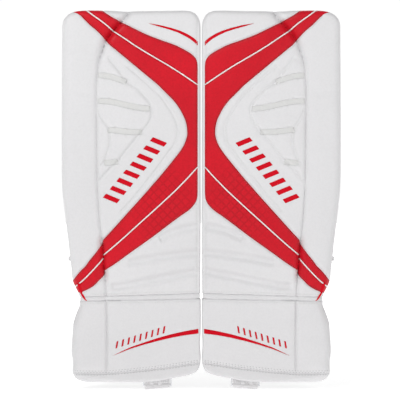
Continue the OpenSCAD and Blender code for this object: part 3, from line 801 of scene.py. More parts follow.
def leather(name, col, rough=0.46, dark=0.93, pattern=False, coat=0.0, grain=620, scuff=0.12, tint=(1, 1, 1), spec=0.42):
    """Coated synthetic leather: fine pebble grain, soft creases, faint scuffs."""
    m, nt, p = new_material(name)
    v = coords(nt)
    pebble = voronoi(nt, v, grain)
    fine = noise(nt, v, grain * 1.7, 3)
    soft = noise(nt, v, 26, 4)
    cloud = noise(nt, v, 5.5, 3)
    base = ramp(nt, cloud, [(0.30, shade(col, dark)), (0.70, col)])
    scuffs = ramp(nt, noise(nt, coords(nt, (1, 1, 0.32)), 34, 6, 0.7), [(0.58, (0, 0, 0)), (0.74, (1, 1, 1))])
    sc = maths(nt, "MULTIPLY", scuffs, scuff)
    worn = mixcol(nt, sc, base, tuple(c * t * 0.80 + 0.02 for c, t in zip(col, tint)))
    h = maths(nt, "ADD", maths(nt, "MULTIPLY", pebble, 0.7), maths(nt, "MULTIPLY", fine, 0.3))
    nrm = bump(nt, h, 0.00028, 0.42)
    rgh = spread(nt, cloud, rough - 0.05, rough + 0.07, 0.3, 0.7)
    if pattern:
        # a fine embossed lattice that fades in towards the middle of the lower band
        tc = nt.nodes.new("ShaderNodeTexCoord")
        sp = nt.nodes.new("ShaderNodeSeparateXYZ")
        nt.links.new(tc.outputs["Object"], sp.inputs[0])
        x = maths(nt, "ABSOLUTE", sp.outputs["X"])
        z = sp.outputs["Z"]
        a = maths(nt, "SINE", maths(nt, "MULTIPLY", maths(nt, "ADD", x, z), 2 * math.pi / 0.0180))
        b = maths(nt, "SINE", maths(nt, "MULTIPLY", maths(nt, "SUBTRACT", maths(nt, "MULTIPLY", x, 1.0), z), 2 * math.pi / 0.0180))
        lat = maths(nt, "MAXIMUM", a, b)
        lat = spread(nt, lat, 0, 1, 0.42, 0.98)
        # how strongly it shows: strongest about (75, 345) mm, gone 130 mm away
        dx = maths(nt, "DIVIDE", maths(nt, "SUBTRACT", x, 0.075), 0.075)
        dz = maths(nt, "DIVIDE", maths(nt, "SUBTRACT", z, 0.350), 0.105)
        r2 = maths(nt, "ADD", maths(nt, "MULTIPLY", dx, dx), maths(nt, "MULTIPLY", dz, dz))
        show = maths(nt, "SUBTRACT", 1.0, r2, clamp=True)
        k = maths(nt, "MULTIPLY", lat, show)
        worn = mixcol(nt, maths(nt, "MULTIPLY", k, 0.38), worn, shade(col, 0.48))
        nrm = bump(nt, maths(nt, "MULTIPLY", k, -1.0), 0.0006, 0.6, nrm)
    speck = ramp(nt, noise(nt, v, 240, 3, 0.7), [(0.32, (0.86, 0.86, 0.86)), (0.60, (1, 1, 1))])
    worn = mixcol(nt, 0.9 if pattern else 0.25, worn, speck, "MULTIPLY")
    nrm = bump(nt, soft, 0.0011, 0.16, nrm)
    nt.links.new(worn, p.inputs["Base Color"])
    nt.links.new(rgh, p.inputs["Roughness"])
    nt.links.new(nrm, p.inputs["Normal"])
    p.inputs["Specular IOR Level"].default_value = spec
    p.inputs["Sheen Weight"].default_value = 0.04
    if coat:
        p.inputs["Coat Weight"].default_value = coat
        p.inputs["Coat Roughness"].default_value = 0.35
    return m


def woven(name, col, pitch=0.0016, rough=0.75, rib=(1, 0, 1), contrast=0.72, depth=0.0004, sheen=0.25):
    """Woven webbing or elastic: crossing ribs at thread scale."""
    m, nt, p = new_material(name)
    tc = nt.nodes.new("ShaderNodeTexCoord")
    sp = nt.nodes.new("ShaderNodeSeparateXYZ")
    nt.links.new(tc.outputs["Object"], sp.inputs[0])
    k = 2 * math.pi / pitch
    across = maths(nt, "SINE", maths(nt, "MULTIPLY", maths(nt, "ADD", sp.outputs["X"], maths(nt, "MULTIPLY", sp.outputs["Y"], 0.8)), k))
    up = maths(nt, "SINE", maths(nt, "MULTIPLY", sp.outputs["Z"], k * 0.62))
    w = maths(nt, "MULTIPLY", across, up)
    w = spread(nt, w, 0, 1, -1, 1)
    v = coords(nt)
    fuzz = noise(nt, v, 900, 3)
    cloud = noise(nt, v, 14, 3)
    c = ramp(nt, w, [(0.15, shade(col, contrast)), (0.85, col)])
    c = mixcol(nt, spread(nt, cloud, 0.0, 0.22, 0.35, 0.7), c, tuple(x * 0.8 + 0.03 for x in col))
    h = maths(nt, "ADD", w, maths(nt, "MULTIPLY", fuzz, 0.5))
    nt.links.new(c, p.inputs["Base Color"])
    nt.links.new(spread(nt, fuzz, rough - 0.06, rough + 0.1, 0.3, 0.7), p.inputs["Roughness"])
    nt.links.new(bump(nt, h, depth, 0.6), p.inputs["Normal"])
    p.inputs["Sheen Weight"].default_value = sheen
    p.inputs["Sheen Roughness"].default_value = 0.45
    p.inputs["Specular IOR Level"].default_value = 0.3
    return m


def fabric(name, col, pitch=0.0022, rough=0.86, sheen=0.35, hexes=True):
    """Brushed or mesh liner fabric."""
    m, nt, p = new_material(name)
    v = coords(nt)
    cells = voronoi(nt, v, 1 / pitch, "DISTANCE_TO_EDGE") if hexes else noise(nt, v, 1 / pitch, 2)
    cells = spread(nt, cells, 0, 1, 0.0, 0.25 if hexes else 1.0)
    fuzz = noise(nt, v, 1400, 3)
    cloud = noise(nt, v, 9, 4)
    c = ramp(nt, cells, [(0.1, shade(col, 0.55)), (0.7, col)])
    c = mixcol(nt, spread(nt, cloud, 0, 0.35, 0.35, 0.7), c, tuple(x * 1.12 + 0.01 for x in col))
    h = maths(nt, "ADD", cells, maths(nt, "MULTIPLY", fuzz, 0.35))
    nt.links.new(c, p.inputs["Base Color"])
    nt.links.new(spread(nt, fuzz, rough - 0.05, rough + 0.08, 0.3, 0.7), p.inputs["Roughness"])
    nt.links.new(bump(nt, h, 0.0005, 0.55), p.inputs["Normal"])
    p.inputs["Sheen Weight"].default_value = sheen
    p.inputs["Sheen Roughness"].default_value = 0.5
    p.inputs["Specular IOR Level"].default_value = 0.22
    return m


def plastic(name, col, rough=0.42, texture=900):
    m, nt, p = new_material(name)
    v = coords(nt)
    fine = noise(nt, v, texture, 3)
    cloud = noise(nt, v, 22, 4)
    nt.links.new(ramp(nt, cloud, [(0.3, shade(col, 0.86)), (0.7, col)]), p.inputs["Base Color"])
    nt.links.new(spread(nt, cloud, rough - 0.06, rough + 0.10, 0.3, 0.7), p.inputs["Roughness"])
    nt.links.new(bump(nt, fine, 0.00015, 0.35), p.inputs["Normal"])
    return m


def metal(name, col=(0.74, 0.75, 0.77), rough=0.24):
    m, nt, p = new_material(name)
    v = coords(nt, (1, 14, 14))
    streak = noise(nt, v, 160, 4)
    spots = noise(nt, coords(nt), 70, 5)
    nt.links.new(ramp(nt, spots, [(0.35, shade(col, 0.80)), (0.62, col)]), p.inputs["Base Color"])
    nt.links.new(spread(nt, streak, rough - 0.06, rough + 0.14, 0.3, 0.7), p.inputs["Roughness"])
    nt.links.new(bump(nt, streak, 0.00005, 0.25), p.inputs["Normal"])
    p.inputs["Metallic"].default_value = 1.0
    return m


def foam(name, col):
    m, nt, p = new_material(name)
    v = coords(nt)
    cells = voronoi(nt, v, 900)
    cloud = noise(nt, v, 12, 4)
    nt.links.new(ramp(nt, cloud, [(0.3, shade(col, 0.88)), (0.7, col)]), p.inputs["Base Color"])
    nt.links.new(bump(nt, cells, 0.0004, 0.6), p.inputs["Normal"])
    nt.links.new(spread(nt, cells, 0.8, 0.95), p.inputs["Roughness"])
    return m


def thread(name, col):
    m, nt, p = new_material(name)
    v = coords(nt, (1, 1, 1), (0.6, 0.2, 0.8))
    w = nt.nodes.new("ShaderNodeTexWave")
    w.inputs["Scale"].default_value = 900
    w.inputs["Distortion"].default_value = 1.5
    nt.links.new(v, w.inputs["Vector"])
    nt.links.new(ramp(nt, w.outputs["Fac"], [(0.2, shade(col, 0.75)), (0.8, col)]), p.inputs["Base Color"])
    nt.links.new(bump(nt, w.outputs["Fac"], 0.0002, 0.6), p.inputs["Normal"])
    nt.links.new(spread(nt, w.outputs["Fac"], 0.55, 0.75), p.inputs["Roughness"])
    p.inputs["Sheen Weight"].default_value = 0.2
    return m


WHITE = (0.722, 0.717, 0.727)
RED_COL = (0.66, 0.004, 0.017)
MATS.update(
    white=leather("white_leather", WHITE, 0.50, 0.965, scuff=0.10),
    channel=leather("channel_leather", (0.672, 0.672, 0.664), 0.58, 0.95, scuff=0.10, grain=520),
    piping=leather("piping", (0.87, 0.845, 0.835), 0.44, 0.97, scuff=0.03, grain=700),
    # a darker red for the strips along the seams and pipes inside the red: painted shade of the seam grooves
    red_edge=leather("red_edge", (0.50, 0.003, 0.012), 0.45, 0.85, scuff=0.05, grain=700, spec=0.2),
    white_wing=leather("wing_leather", shade(WHITE, 0.97), 0.50, 0.95, scuff=0.14),
    binding=leather("binding_leather", shade(WHITE, 0.97), 0.44, 0.95, scuff=0.2, grain=700),
    red=leather("red_leather", RED_COL, 0.42, 0.84, pattern=True, scuff=0.16, spec=0.19),
    red_mark=leather("red_mark", (0.64, 0.003, 0.014), 0.42, 0.9, scuff=0.08, grain=800, spec=0.06),
    black=leather("black_leather", (0.030, 0.030, 0.033), 0.48, 0.75, scuff=0.3),
    liner=fabric("liner_fabric", (0.098, 0.101, 0.112), 0.0024),
    back=fabric("back_fabric", (0.105, 0.107, 0.115), 0.0017, hexes=False),
    elastic=woven("elastic", (0.032, 0.032, 0.036), 0.0018, 0.8),
    webbing=woven("webbing", (0.80, 0.79, 0.80), 0.0017, 0.72, contrast=0.84),
    hook=fabric("hook_tape", (0.045, 0.045, 0.05), 0.0012, 0.92, 0.5, False),
    rubber=plastic("grip_rubber", (0.035, 0.035, 0.038), 0.62, 500),
    plastic=plastic("plastic", (0.05, 0.05, 0.055), 0.38),
    board=plastic("board_plastic", (0.03, 0.03, 0.033), 0.5),
    metal=metal("nickel"),
    foam=foam("foam", (0.70, 0.67, 0.60)),
    thread=thread("thread_white", (0.76, 0.76, 0.75)),
    thread_grey=thread("thread_grey", (0.52, 0.52, 0.53)),
    thread_red=thread("thread_red", (0.46, 0.010, 0.02)),
    thread_black=thread("thread_black", (0.03, 0.03, 0.03)),
)

# ------------------------------------------------------------ the fronts
def trim_line(line):
    """A flex channel from just inside the crease to the panel's edge."""
    s_ = np.r_[0, np.cumsum(np.linalg.norm(np.diff(line, axis=0), axis=1))]
    t_ = np.linspace(1.5, s_[-1] - 3.0, 40)
    return np.column_stack([np.interp(t_, s_, line[:, 0]), np.interp(t_, s_, line[:, 1])])


UPPER_BLEND = ("shin", "thigh", (140, -40, 560), (140, -40, 598))
BOOT_BLEND = ("boot", "shin", (130, -9, 132), (130, -9, 163))
WALL = 1.5

V, T, rid, P = build_skin(
    UPPER_CHAIN, UPPER_TAIL, [cre],
    [(5, swoosh), (2, RED), (2, RED_ROLL)] + [(7, strip(trim_line(C[k]), 5.2)) for k in ("G1", "G2", "G3", "G4")]
    # region 8: strips along the seams and pipes; inside the red they take the darker red, painted shade in the seam
    # grooves
    + [(8, strip(C[k], 1.5)) for k in ("IN_FACE", "OUT_TOP", "OUT_LOW", "IN_ROLL", "OUT_ROLL")]
    + [(8, strip(l, PIPE_HALF + 1.3)) for l in (pipe_up, pipe_low, pipe_roll)] + [(3, strip(pipe_up, PIPE_HALF)), (3, strip(pipe_low, PIPE_HALF)), (3, strip(pipe_roll, PIPE_HALF)),
     (1, EDGE_STRIP)] + [(4, b) for b in bars],
    [cre], [], upper_height,
    SEAMS + CHANNELS + SHIN + CONTOURS + [cre, pipe_up, pipe_low, pipe_roll, swoosh, UPPER_TAIL, INNER_PANEL] + bars, "upper")
rid[rid == 0] = 1
cen = P[T].mean(1)
in_red = inside(cen, RED) | inside(cen, RED_ROLL)
rid[(rid == 8) & ~in_red] = 1
rid[(rid == 7) & in_red] = 2
rid[(rid == 2) & (cen[:, 0] < EDGE_X)] = 1
V, T, rid = add_walls(V, T, rid, P, UPPER_CHAIN)
N = vertex_normals(V, T)
# the piping inside the red stands slightly proud as its own welt
for k, name, mat, nodes, slot in (
        (1, "upper_white_panels", "white", ("shin_cover", "thigh_cover", "shin_core", "shin_roll", "thigh_core", "thigh_roll"), "white_leather"),
        (2, "upper_red_panels", "red", ("shin_band", "thigh_band"), "red_leather"),
        (3, "upper_piping", "piping", (), "white_leather"),
        (4, "face_mark", "red_mark", (), "red_leather"),
        (5, "top_swoosh", "red_mark", (), "red_leather"),
        (7, "flex_channels", "channel", (), "white_leather"),
        (8, "red_edges", "red_edge", (), "red_leather")):
    sel = T[rid == k]
    if not len(sel):
        continue
    v, f = shell(V, sel, N, WALL)
    piece(name, v, f, None, mat, nodes, blend=UPPER_BLEND)

V, T, rid, P = build_skin(
    BOOT_CHAIN, BOOT_TAIL, [bcre],
    [(2, boot_swoosh), (6, BIND_REGION), (1, EDGE_STRIP)] + [(4, b) for b in boot_bars],
    [bcre], [], boot_height,
    [bcre, bind, boot_swoosh, BOOT_TAIL] + boot_bars, "boot")
edge_k = (rid == 1)
rid[rid == 0] = 1
cen = P[T].mean(1)
rid[edge_k & inside(cen, BIND_REGION)] = 6
V, T, rid = add_walls(V, T, rid, P, BOOT_CHAIN)
N = vertex_normals(V, T)
for k, name, mat, nodes, slot in (
        (1, "boot_white_panels", "white", ("boot_cover", "boot_core", "boot_roll"), "white_leather"),
        (2, "boot_swoosh", "red_mark", (), "red_leather"),
        (4, "boot_mark", "red_mark", (), "red_leather"),
        (6, "toe_edge_panel", "binding", ("toe_binding",), "binding")):
    sel = T[rid == k]
    v, f = shell(V, sel, N, WALL)
    piece(name, v, f, "boot", mat, nodes, blend=BOOT_BLEND if k == 1 else None)


# ----------------------------------------------------------- more mesh tools
def volume(V, F):
    V = np.asarray(V, float)
    total = 0.0
    for f in F:
        a = V[f[0]]
        for i in range(1, len(f) - 1):
            total += np.dot(a, np.cross(V[f[i]], V[f[i + 1]]))
    return total / 6


def oriented(V, F):
    if volume(V, F) < 0:
        F = [tuple(f[::-1]) for f in F]
    return np.asarray(V, float), F


def ring_mesh(rings, closed=False):
    """Joins rings of equal length into a closed body with flat end caps."""
    n = len(rings[0])
    V = np.vstack(rings)
    F = []
    m = len(rings)
    for i in range(m if closed else m - 1):
        a, b = i * n, ((i + 1) % m) * n
        for k in range(n):
            j = (k + 1) % n
            F.append((a + k, a + j, b + j, b + k))
    if not closed:
        F.append(tuple(range(n))[::-1])
        F.append(tuple(range((m - 1) * n, m * n)))
    return oriented(V, F)


def tube(path, r, n=8, closed=False, flat=1.0, ref=(0, 0, 1)):
    """A cord along a path, its frame carried along without twist."""
    p = np.array(path, float)
    if closed:
        t = np.roll(p, -1, axis=0) - np.roll(p, 1, axis=0)
    else:
        t = np.gradient(p, axis=0)
    t /= np.maximum(np.linalg.norm(t, axis=1, keepdims=True), 1e-9)
    u = np.array(ref, float)
    if abs(np.dot(u, t[0])) > 0.9:
        u = np.array((0, 1.0, 0))
    rings = []
    ang = np.linspace(0, 2 * math.pi, n, endpoint=False)
    rr = np.broadcast_to(np.asarray(r, float), (len(p),))
    for i in range(len(p)):
        u = u - t[i] * np.dot(u, t[i])
        u /= np.linalg.norm(u)
        w = np.cross(t[i], u)
        rings.append(p[i] + (np.cos(ang)[:, None] * u * flat + np.sin(ang)[:, None] * w) * rr[i])
    return ring_mesh(rings, closed)


def merge(parts):
    V, F, base = [], [], 0
    for v, f in parts:
        V.append(np.asarray(v, float))
        F += [tuple(int(i) + base for i in t) for t in f]
        base += len(v)
    return np.vstack(V), F


def path3(pts, step=3.0, smooth=True):
    p = np.array(pts, float)
    if smooth:
        return catmull(p, step)
    return resample(p, step)


def sweep(path, wdir, half_w, half_t, n=14, p=5.0, end_r=(6, 6), relief=None, face=None, min_t=0.25):
    """A flat padded strip along a path. wdir is its width direction.

    relief(s, a) moves the outer face along its normal, s from the start and a across, both in mm."""
    P = np.array(path, float)
    s = np.r_[0, np.cumsum(np.linalg.norm(np.diff(P, axis=0), axis=1))]
    L = s[-1]
    # closer samples near the ends
    fine0 = end_r[0] * (1 - np.cos(np.linspace(0, math.pi / 2, 7)))
    fine1 = L - end_r[1] * (1 - np.cos(np.linspace(0, math.pi / 2, 7)))
    mid = s[(s > end_r[0] + 1) & (s < L - end_r[1] - 1)]
    ss = np.unique(np.round(np.r_[fine0, mid, fine1], 4))
    Q = np.column_stack([np.interp(ss, s, P[:, k]) for k in range(3)])
    T = np.gradient(Q, axis=0)
    T /= np.linalg.norm(T, axis=1, keepdims=True)
    W = np.array(wdir, float)
    W /= np.linalg.norm(W)
    th = np.linspace(-math.pi / 2, math.pi / 2, n + 1)
    rings = []
    for i, si in enumerate(ss):
        N = np.cross(T[i], W)
        N /= np.linalg.norm(N)
        hw = half_w(si) if callable(half_w) else half_w
        ht = half_t(si) if callable(half_t) else half_t
        e0, e1 = min(si / max(end_r[0], 1e-6), 1), min((L - si) / max(end_r[1], 1e-6), 1)
        f = min(math.sqrt(max(0, 1 - (1 - e0) ** 2)), math.sqrt(max(0, 1 - (1 - e1) ** 2)))
        rr = end_r[0] if si < L / 2 else end_r[1]
        hw2 = hw - min(rr, hw * 0.9) * (1 - f)
        ht2 = ht * max(f, min_t)
        top, bot = [], []
        for k, a_ in enumerate(th):
            a = math.sin(a_)
            b = math.sqrt(max(0.0, 1 - abs(a) ** p)) if 0 < k < n else 0.0
            off = relief(si, a * hw2) * b if relief else 0.0
            off2 = face(si, a * hw2) * b if face else 0.0
            top.append(Q[i] + W * a * hw2 + N * (b * ht2 + off * f))
            if 0 < k < n:
                bot.append(Q[i] + W * a * hw2 - N * (b * ht2 + off2 * f))
        rings.append(np.array(top + bot[::-1]))
    return ring_mesh(rings)


def rounded(poly, r, step=3.0):
    """Rounds each corner of a closed polygon with radius up to r, then resamples."""
    p = np.array(poly, float)
    out = []
    n = len(p)
    for i in range(n):
        a, b, c = p[i - 1], p[i], p[(i + 1) % n]
        la, lc = np.linalg.norm(a - b), np.linalg.norm(c - b)
        d = min(r, la * 0.45, lc * 0.45)
        q0, q1 = b + (a - b) / la * d, b + (c - b) / lc * d
        for t in np.linspace(0, 1, 7):
            out.append((1 - t) ** 2 * q0 + 2 * t * (1 - t) * b + t * t * q1)
    return resample(np.array(out), step, closed=True)


def prism_pad(poly, c0, c1, r, corner=6, step=3.2, axis="z", grooves=(), depth=2.0, gw=2.6, swell=0.0, dome=0.0, dome0=0.0, ngroove=None, pitch=5.0):
    """A stuffed form: a polygon with rounded corners and edges, drawn in at its sewn channels."""
    p = rounded(poly, corner, step)
    x, y = p[:, 0], p[:, 1]
    if (x * np.roll(y, -1) - np.roll(x, -1) * y).sum() < 0:
        p = p[::-1]
    t = np.roll(p, -1, axis=0) - np.roll(p, 1, axis=0)
    t /= np.linalg.norm(t, axis=1, keepdims=True)
    out = np.column_stack([t[:, 1], -t[:, 0]])
    cen = p.mean(0)
    zs, ins = [], []
    phis = np.linspace(90, 0, 6)
    for ph in phis:
        zs.append(c0 + r - r * math.sin(math.radians(ph)))
        ins.append(r * (1 - math.cos(math.radians(ph))))
    m = max(3, int((c1 - c0 - 2 * r) / pitch))
    gz = sorted(set([round(z, 3) for z in np.linspace(c0 + r, c1 - r, m)[1:-1]] +
                    [round(g + d, 3) for g in grooves for d in (-3, -1.4, 0, 1.4, 3)]))
    for z in gz:
        zs.append(z)
        ins.append(0.0)
    for ph in phis[::-1]:
        zs.append(c1 - r + r * math.sin(math.radians(ph)))
        ins.append(r * (1 - math.cos(math.radians(ph))))
    rings = []
    marks = [c0] + list(grooves) + [c1]

    def place(q, z):
        return np.column_stack([q[:, 0], q[:, 1], np.full(len(q), z)]) if axis == "z" else np.column_stack([q[:, 0], np.full(len(q), z), q[:, 1]])

    for k in (0.25, 0.5, 0.75, 0.92):
        if dome0:
            base = p - out * r
            rings.append(place(cen + (base - cen) * k, c0 - dome0 * (1 - k * k)))
    for z, d in zip(zs, ins):
        extra = sum(depth * math.exp(-((z - g) / gw) ** 2) for g in grooves)
        j = np.searchsorted(marks, z) - 1
        j = min(max(j, 0), len(marks) - 2)
        u = (z - marks[j]) / (marks[j + 1] - marks[j])
        extra -= swell * math.sin(math.pi * min(max(u, 0), 1)) ** 0.8
        dd = np.full(len(p), d + extra)
        if ngroove is not None:
            dd = dd + ngroove(p)
        rings.append(place(p - out * dd[:, None], z))
    if dome:
        base = p - out * r
        for k in (0.92, 0.75, 0.5, 0.25):
            rings.append(place(cen + (base - cen) * k, c1 + dome * (1 - k * k)))
    return ring_mesh(rings)


def stitch_row(pts, nrm, length=3.6, gap=1.7, r=0.42, lift=0.22):
    """Single stitches along a line that lies on a surface; nrm is the outward direction at each point."""
    p = np.array(pts, float)
    nn = np.broadcast_to(np.array(nrm, float), p.shape)
    s = np.r_[0, np.cumsum(np.linalg.norm(np.diff(p, axis=0), axis=1))]
    parts = []
    k = int((s[-1] - 1) / (length + gap))
    if k < 1:
        return parts
    pitch = s[-1] / k
    for i in range(k):
        a = i * pitch + gap / 2
        t = np.linspace(a, a + pitch - gap, 4)
        q = np.column_stack([np.interp(t, s, p[:, c]) for c in range(3)])
        no = np.column_stack([np.interp(t, s, nn[:, c]) for c in range(3)])
        no /= np.maximum(np.linalg.norm(no, axis=1, keepdims=True), 1e-9)
        q = q + no * np.array([-0.35, lift, lift, -0.35])[:, None]
        d = np.gradient(q, axis=0)
        d /= np.linalg.norm(d, axis=1, keepdims=True)
        b = np.cross(d, no)
        rings = []
        for j, rr in enumerate((0.6, 1, 1, 0.6)):
            rings.append(np.array([q[j] + b[j] * r * rr, q[j] + no[j] * r * rr * 0.8, q[j] - b[j] * r * rr, q[j] - no[j] * r * rr * 0.8]))
        parts.append(ring_mesh(rings))
    return parts


def on_front(line, height, lift=0.0):
    P = np.asarray(line, float)
    return np.column_stack([P[:, 0], height(P) - lift, P[:, 1]])


FRONT_DIR = (0, -1, 0)


def keep_in(line, lo_x, lo_z, hi_z, edge=9.0, chain=None):
    m = (line[:, 0] > lo_x) & (line[:, 1] > lo_z) & (line[:, 1] < hi_z)
    if chain is not None:
        m &= (seg_dist(line, chain) > edge) & inside(line, np.vstack([chain]))
    idx = np.where(m)[0]
    if not len(idx):
        return line[:0]
    cut = np.where(np.diff(idx) > 1)[0]
    runs = np.split(idx, cut + 1)
    best = max(runs, key=len)
    return line[best]


# ---------------------------------------------------------- front stitching
upper_poly = np.vstack([UPPER_CHAIN, UPPER_TAIL[1:-1]])
boot_poly = np.vstack([BOOT_CHAIN, BOOT_TAIL[1:-1]])


def upper_rows(line, offs, edge=4.0, lo_x=9.0):
    parts = []
    for o in offs:
        l = offset_line(resample(np.asarray(line), 1.6), o)
        m = inside(l, upper_poly) & (seg_dist(l, upper_poly, closed=True) > edge) & (l[:, 0] > lo_x)
        idx = np.where(m)[0]
        if len(idx) < 4:
            continue
        for run in np.split(idx, np.where(np.diff(idx) > 1)[0] + 1):
            if len(run) > 4:
                parts += stitch_row(on_front(l[run], upper_height), FRONT_DIR)
    return parts


white_rows, red_rows = [], []
for key, red_side in (("IN_FACE", None), ("IN_ROLL", None), ("OUT_TOP", None), ("OUT_LOW", None), ("OUT_ROLL", None)):
    line = C[key]
    for o in (2.7, -2.7):
        l = offset_line(line, o)
        mid = l[len(l) // 2][None]
        red = bool(inside(mid, RED)[0] or inside(mid, RED_ROLL)[0])
        (red_rows if red else white_rows).extend(upper_rows(line, (o,)))
for key in ("CONTOUR_R", "CONTOUR_L", "OFFSET"):
    white_rows += upper_rows(C[key], (2.6,))
edge_line = np.column_stack([np.full(200, EDGE_X + 2.4), np.linspace(185, 722, 200)])
eseg = edge_line[~inside(edge_line, RED)]
for run in np.split(np.arange(len(eseg)), np.where(np.diff(eseg[:, 1]) > 5)[0] + 1):
    if len(run) > 3:
        white_rows += upper_rows(eseg[run], (0.0,), 3.0, 5.0)
rseg = edge_line[inside(edge_line, RED)]
if len(rseg) > 3:
    red_rows += upper_rows(rseg, (0.0,), 3.0, 5.0)
ankle_row = np.column_stack([UPPER_TAIL[4:-4, 0], UPPER_TAIL[4:-4, 1] + 5.0])[::-1]
white_rows += upper_rows(ankle_row, (0.0,), 3.0, 5.0)
v, f = merge(white_rows)
piece("upper_stitches", v, f, None, "thread", (), blend=UPPER_BLEND)
v, f = merge(red_rows)
piece("upper_red_stitches", v, f, None, "thread_red", (), blend=UPPER_BLEND)

boot_rows = []
for o in (2.4, -2.4, -5.6):
    l = offset_line(resample(bind, 1.6), o)
    m = inside(l, boot_poly) & (seg_dist(l, boot_poly, closed=True) > 3.0)
    for run in np.split(np.where(m)[0], np.where(np.diff(np.where(m)[0]) > 1)[0] + 1):
        if len(run) > 4:
            boot_rows += stitch_row(on_front(l[run], boot_height), FRONT_DIR, 3.8, 2.2, 0.55, 0.1)
v, f = merge(boot_rows)
piece("toe_stitches", v, f, "boot", "thread_grey", ())
l = np.column_stack([BOOT_TAIL[4:-4, 0], BOOT_TAIL[4:-4, 1] - 5.0])
v, f = merge(stitch_row(on_front(l, boot_height), FRONT_DIR))
piece("boot_top_stitches", v, f, None, "thread", (), blend=BOOT_BLEND)


# ------------------------------------------------------------ ankle bellows


def wall_rows(chain, height, depth, z_lo=-99, z_hi=9999):
    p = resample(chain, 1.6)
    t_ = np.gradient(p, axis=0)
    t_ /= np.linalg.norm(t_, axis=1, keepdims=True)
    o_ = np.column_stack([t_[:, 1], -t_[:, 0]])
    if (p[len(p) // 4] - p.mean(0)) @ o_[len(p) // 4] < 0:
        o_ = -o_
    m = (p[:, 0] > 30) & (p[:, 1] > z_lo) & (p[:, 1] < z_hi)
    p, o_ = p[m], o_[m]
    y = lerp(height(p), yrear(p[:, 1]), depth)
    q = np.column_stack([p[:, 0] + o_[:, 0] * 0.75, y, p[:, 1] + o_[:, 1] * 0.75])
    return stitch_row(q, np.column_stack([o_[:, 0], np.zeros(len(p)), o_[:, 1]]), 3.6, 1.8, 0.45)


v, f = merge(wall_rows(UPPER_CHAIN, upper_height, 0.80, 186))
piece("wall_stitches", v, f, None, "thread_grey", (), blend=UPPER_BLEND)
v, f = merge(wall_rows(BOOT_CHAIN, boot_height, 0.80, 3, 150))
piece("boot_wall_stitches", v, f, "boot", "thread_grey", ())


def bellows_ring(w, ins, n_front=96):
    """One loop of the ankle bellows: across the front, round the outer wall, the back and the inner wall."""
    xi, xo = float(x_in(168)), float(x_out(168))
    c = 0.5 - 0.5 * np.cos(np.linspace(0, math.pi, n_front))
    k = 0.9 + max(ins + 1.5, 0) * 0.55
    xs = lerp(xi + k, xo - k, c)
    a = upper_height(np.column_stack([xs, UP(xs) + 0.8]))
    b = boot_height(np.column_stack([xs, LO(xs) - 0.8]))
    y = np.maximum(a, b)
    cap = y[n_front // 2] + 22
    y = np.minimum(y, cap) + ins
    front = np.column_stack([xs, y])
    yr = float(yrear(168)) - 1.8 - max(ins, 0) * 0.3
    tail = [(xo - k, t) for t in np.linspace(y[-1] + 3, yr - 4, 8)] + [(xo - k - 1.2, yr - 1.2), (xo - k - 4, yr)]
    tail += [(t, yr) for t in np.linspace(xo - k - 9, xi + k + 9, 30)]
    tail += [(xi + k + 4, yr), (xi + k + 1.2, yr - 1.2)] + [(xi + k, t) for t in np.linspace(yr - 4, y[0] + 3, 8)]
    q = np.vstack([front, tail])
    lo, hi = LO(q[:, 0]), UP(q[:, 0])
    z = lerp(lo, hi, w) if 0 <= w <= 1 else (lo + w if w < 0 else hi + w - 1)
    return np.column_stack([q, z])


rings = [bellows_ring(w, ins) for w, ins in ((-9, 3.2), (-4, 2.6), (0, 0.9), (0.12, -0.3), (0.25, -1.0), (0.5, -1.5), (0.75, -1.0), (0.88, -0.3), (1, 0.9), (5, 2.6), (10, 3.2))]
inner = []
for q in rings[::-1]:
    c = np.array([130, -31])
    d = c - q[:, :2]
    step_in = np.column_stack([np.clip(d[:, 0], -1.4, 1.4), np.clip(d[:, 1], -1.4, 1.4)])
    inner.append(np.column_stack([q[:, :2] + step_in, q[:, 2]]))
v, f = ring_mesh(rings + inner, closed=True)
piece("ankle_bellows", v, f, None, "white_wing", (), blend=("boot", "shin", (130, -9, 152), (130, -9, 178)))

# -------------------------------------------------------------- back panels
_low = np.vstack([BOOT_IN[BOOT_IN[:, 1] < 34], BOOT_OUT[BOOT_OUT[:, 1] < 16]])
_low = _low[np.argsort(_low[:, 0])]
TOE_CURVE = (_low[:, 0], _low[:, 1])


def lift_toe(x, z):
    """Keeps a rear panel above the curved toe edge."""
    base = np.interp(x, *TOE_CURVE) + 7.0
    return np.maximum(z, lerp(base, z, smoothstep(0, 60, z - base)))


def back_panel(zs, inset, y_off, nu=56, thick=1.6, puff=1.0, quilts=()):
    rows = []
    zs = np.asarray(zs, float)
    for z in zs:
        xi, xo = float(x_in(z)) + inset, float(x_out(z)) - inset
        e = min(z - zs[0], zs[-1] - z)
        rr = 14.0
        k = rr - math.sqrt(max(0, rr * rr - max(0, rr - e) ** 2)) if e < rr else 0.0
        x = np.linspace(xi + k, xo - k, nu)
        u = (x - x[0]) / (x[-1] - x[0])
        y = yrear(z) + y_off + puff * np.clip(np.minimum(u, 1 - u) * 9, 0, 1) ** 0.7
        for q in quilts:
            y = y - 0.9 * np.exp(-((z - q) / 2.4) ** 2) * np.clip(np.minimum(u, 1 - u) * 12, 0, 1)
        zz = lift_toe(x, np.full(nu, z)) if z < 100 else np.full(nu, z)
        rows.append(np.column_stack([x, y + (yrear(zz) - yrear(z)), zz]))
    G = np.array(rows)
    m = len(zs)
    V = G.reshape(-1, 3)
    F = []
    for i in range(m - 1):
        for k in range(nu - 1):
            a = i * nu + k
            F += [(a, a + nu, a + nu + 1), (a, a + nu + 1, a + 1)]
    N = vertex_normals(V, F)
    if N[:, 1].mean() < 0:
        F = [t[::-1] for t in F]
        N = -N
    return shell(V, F, N, thick)


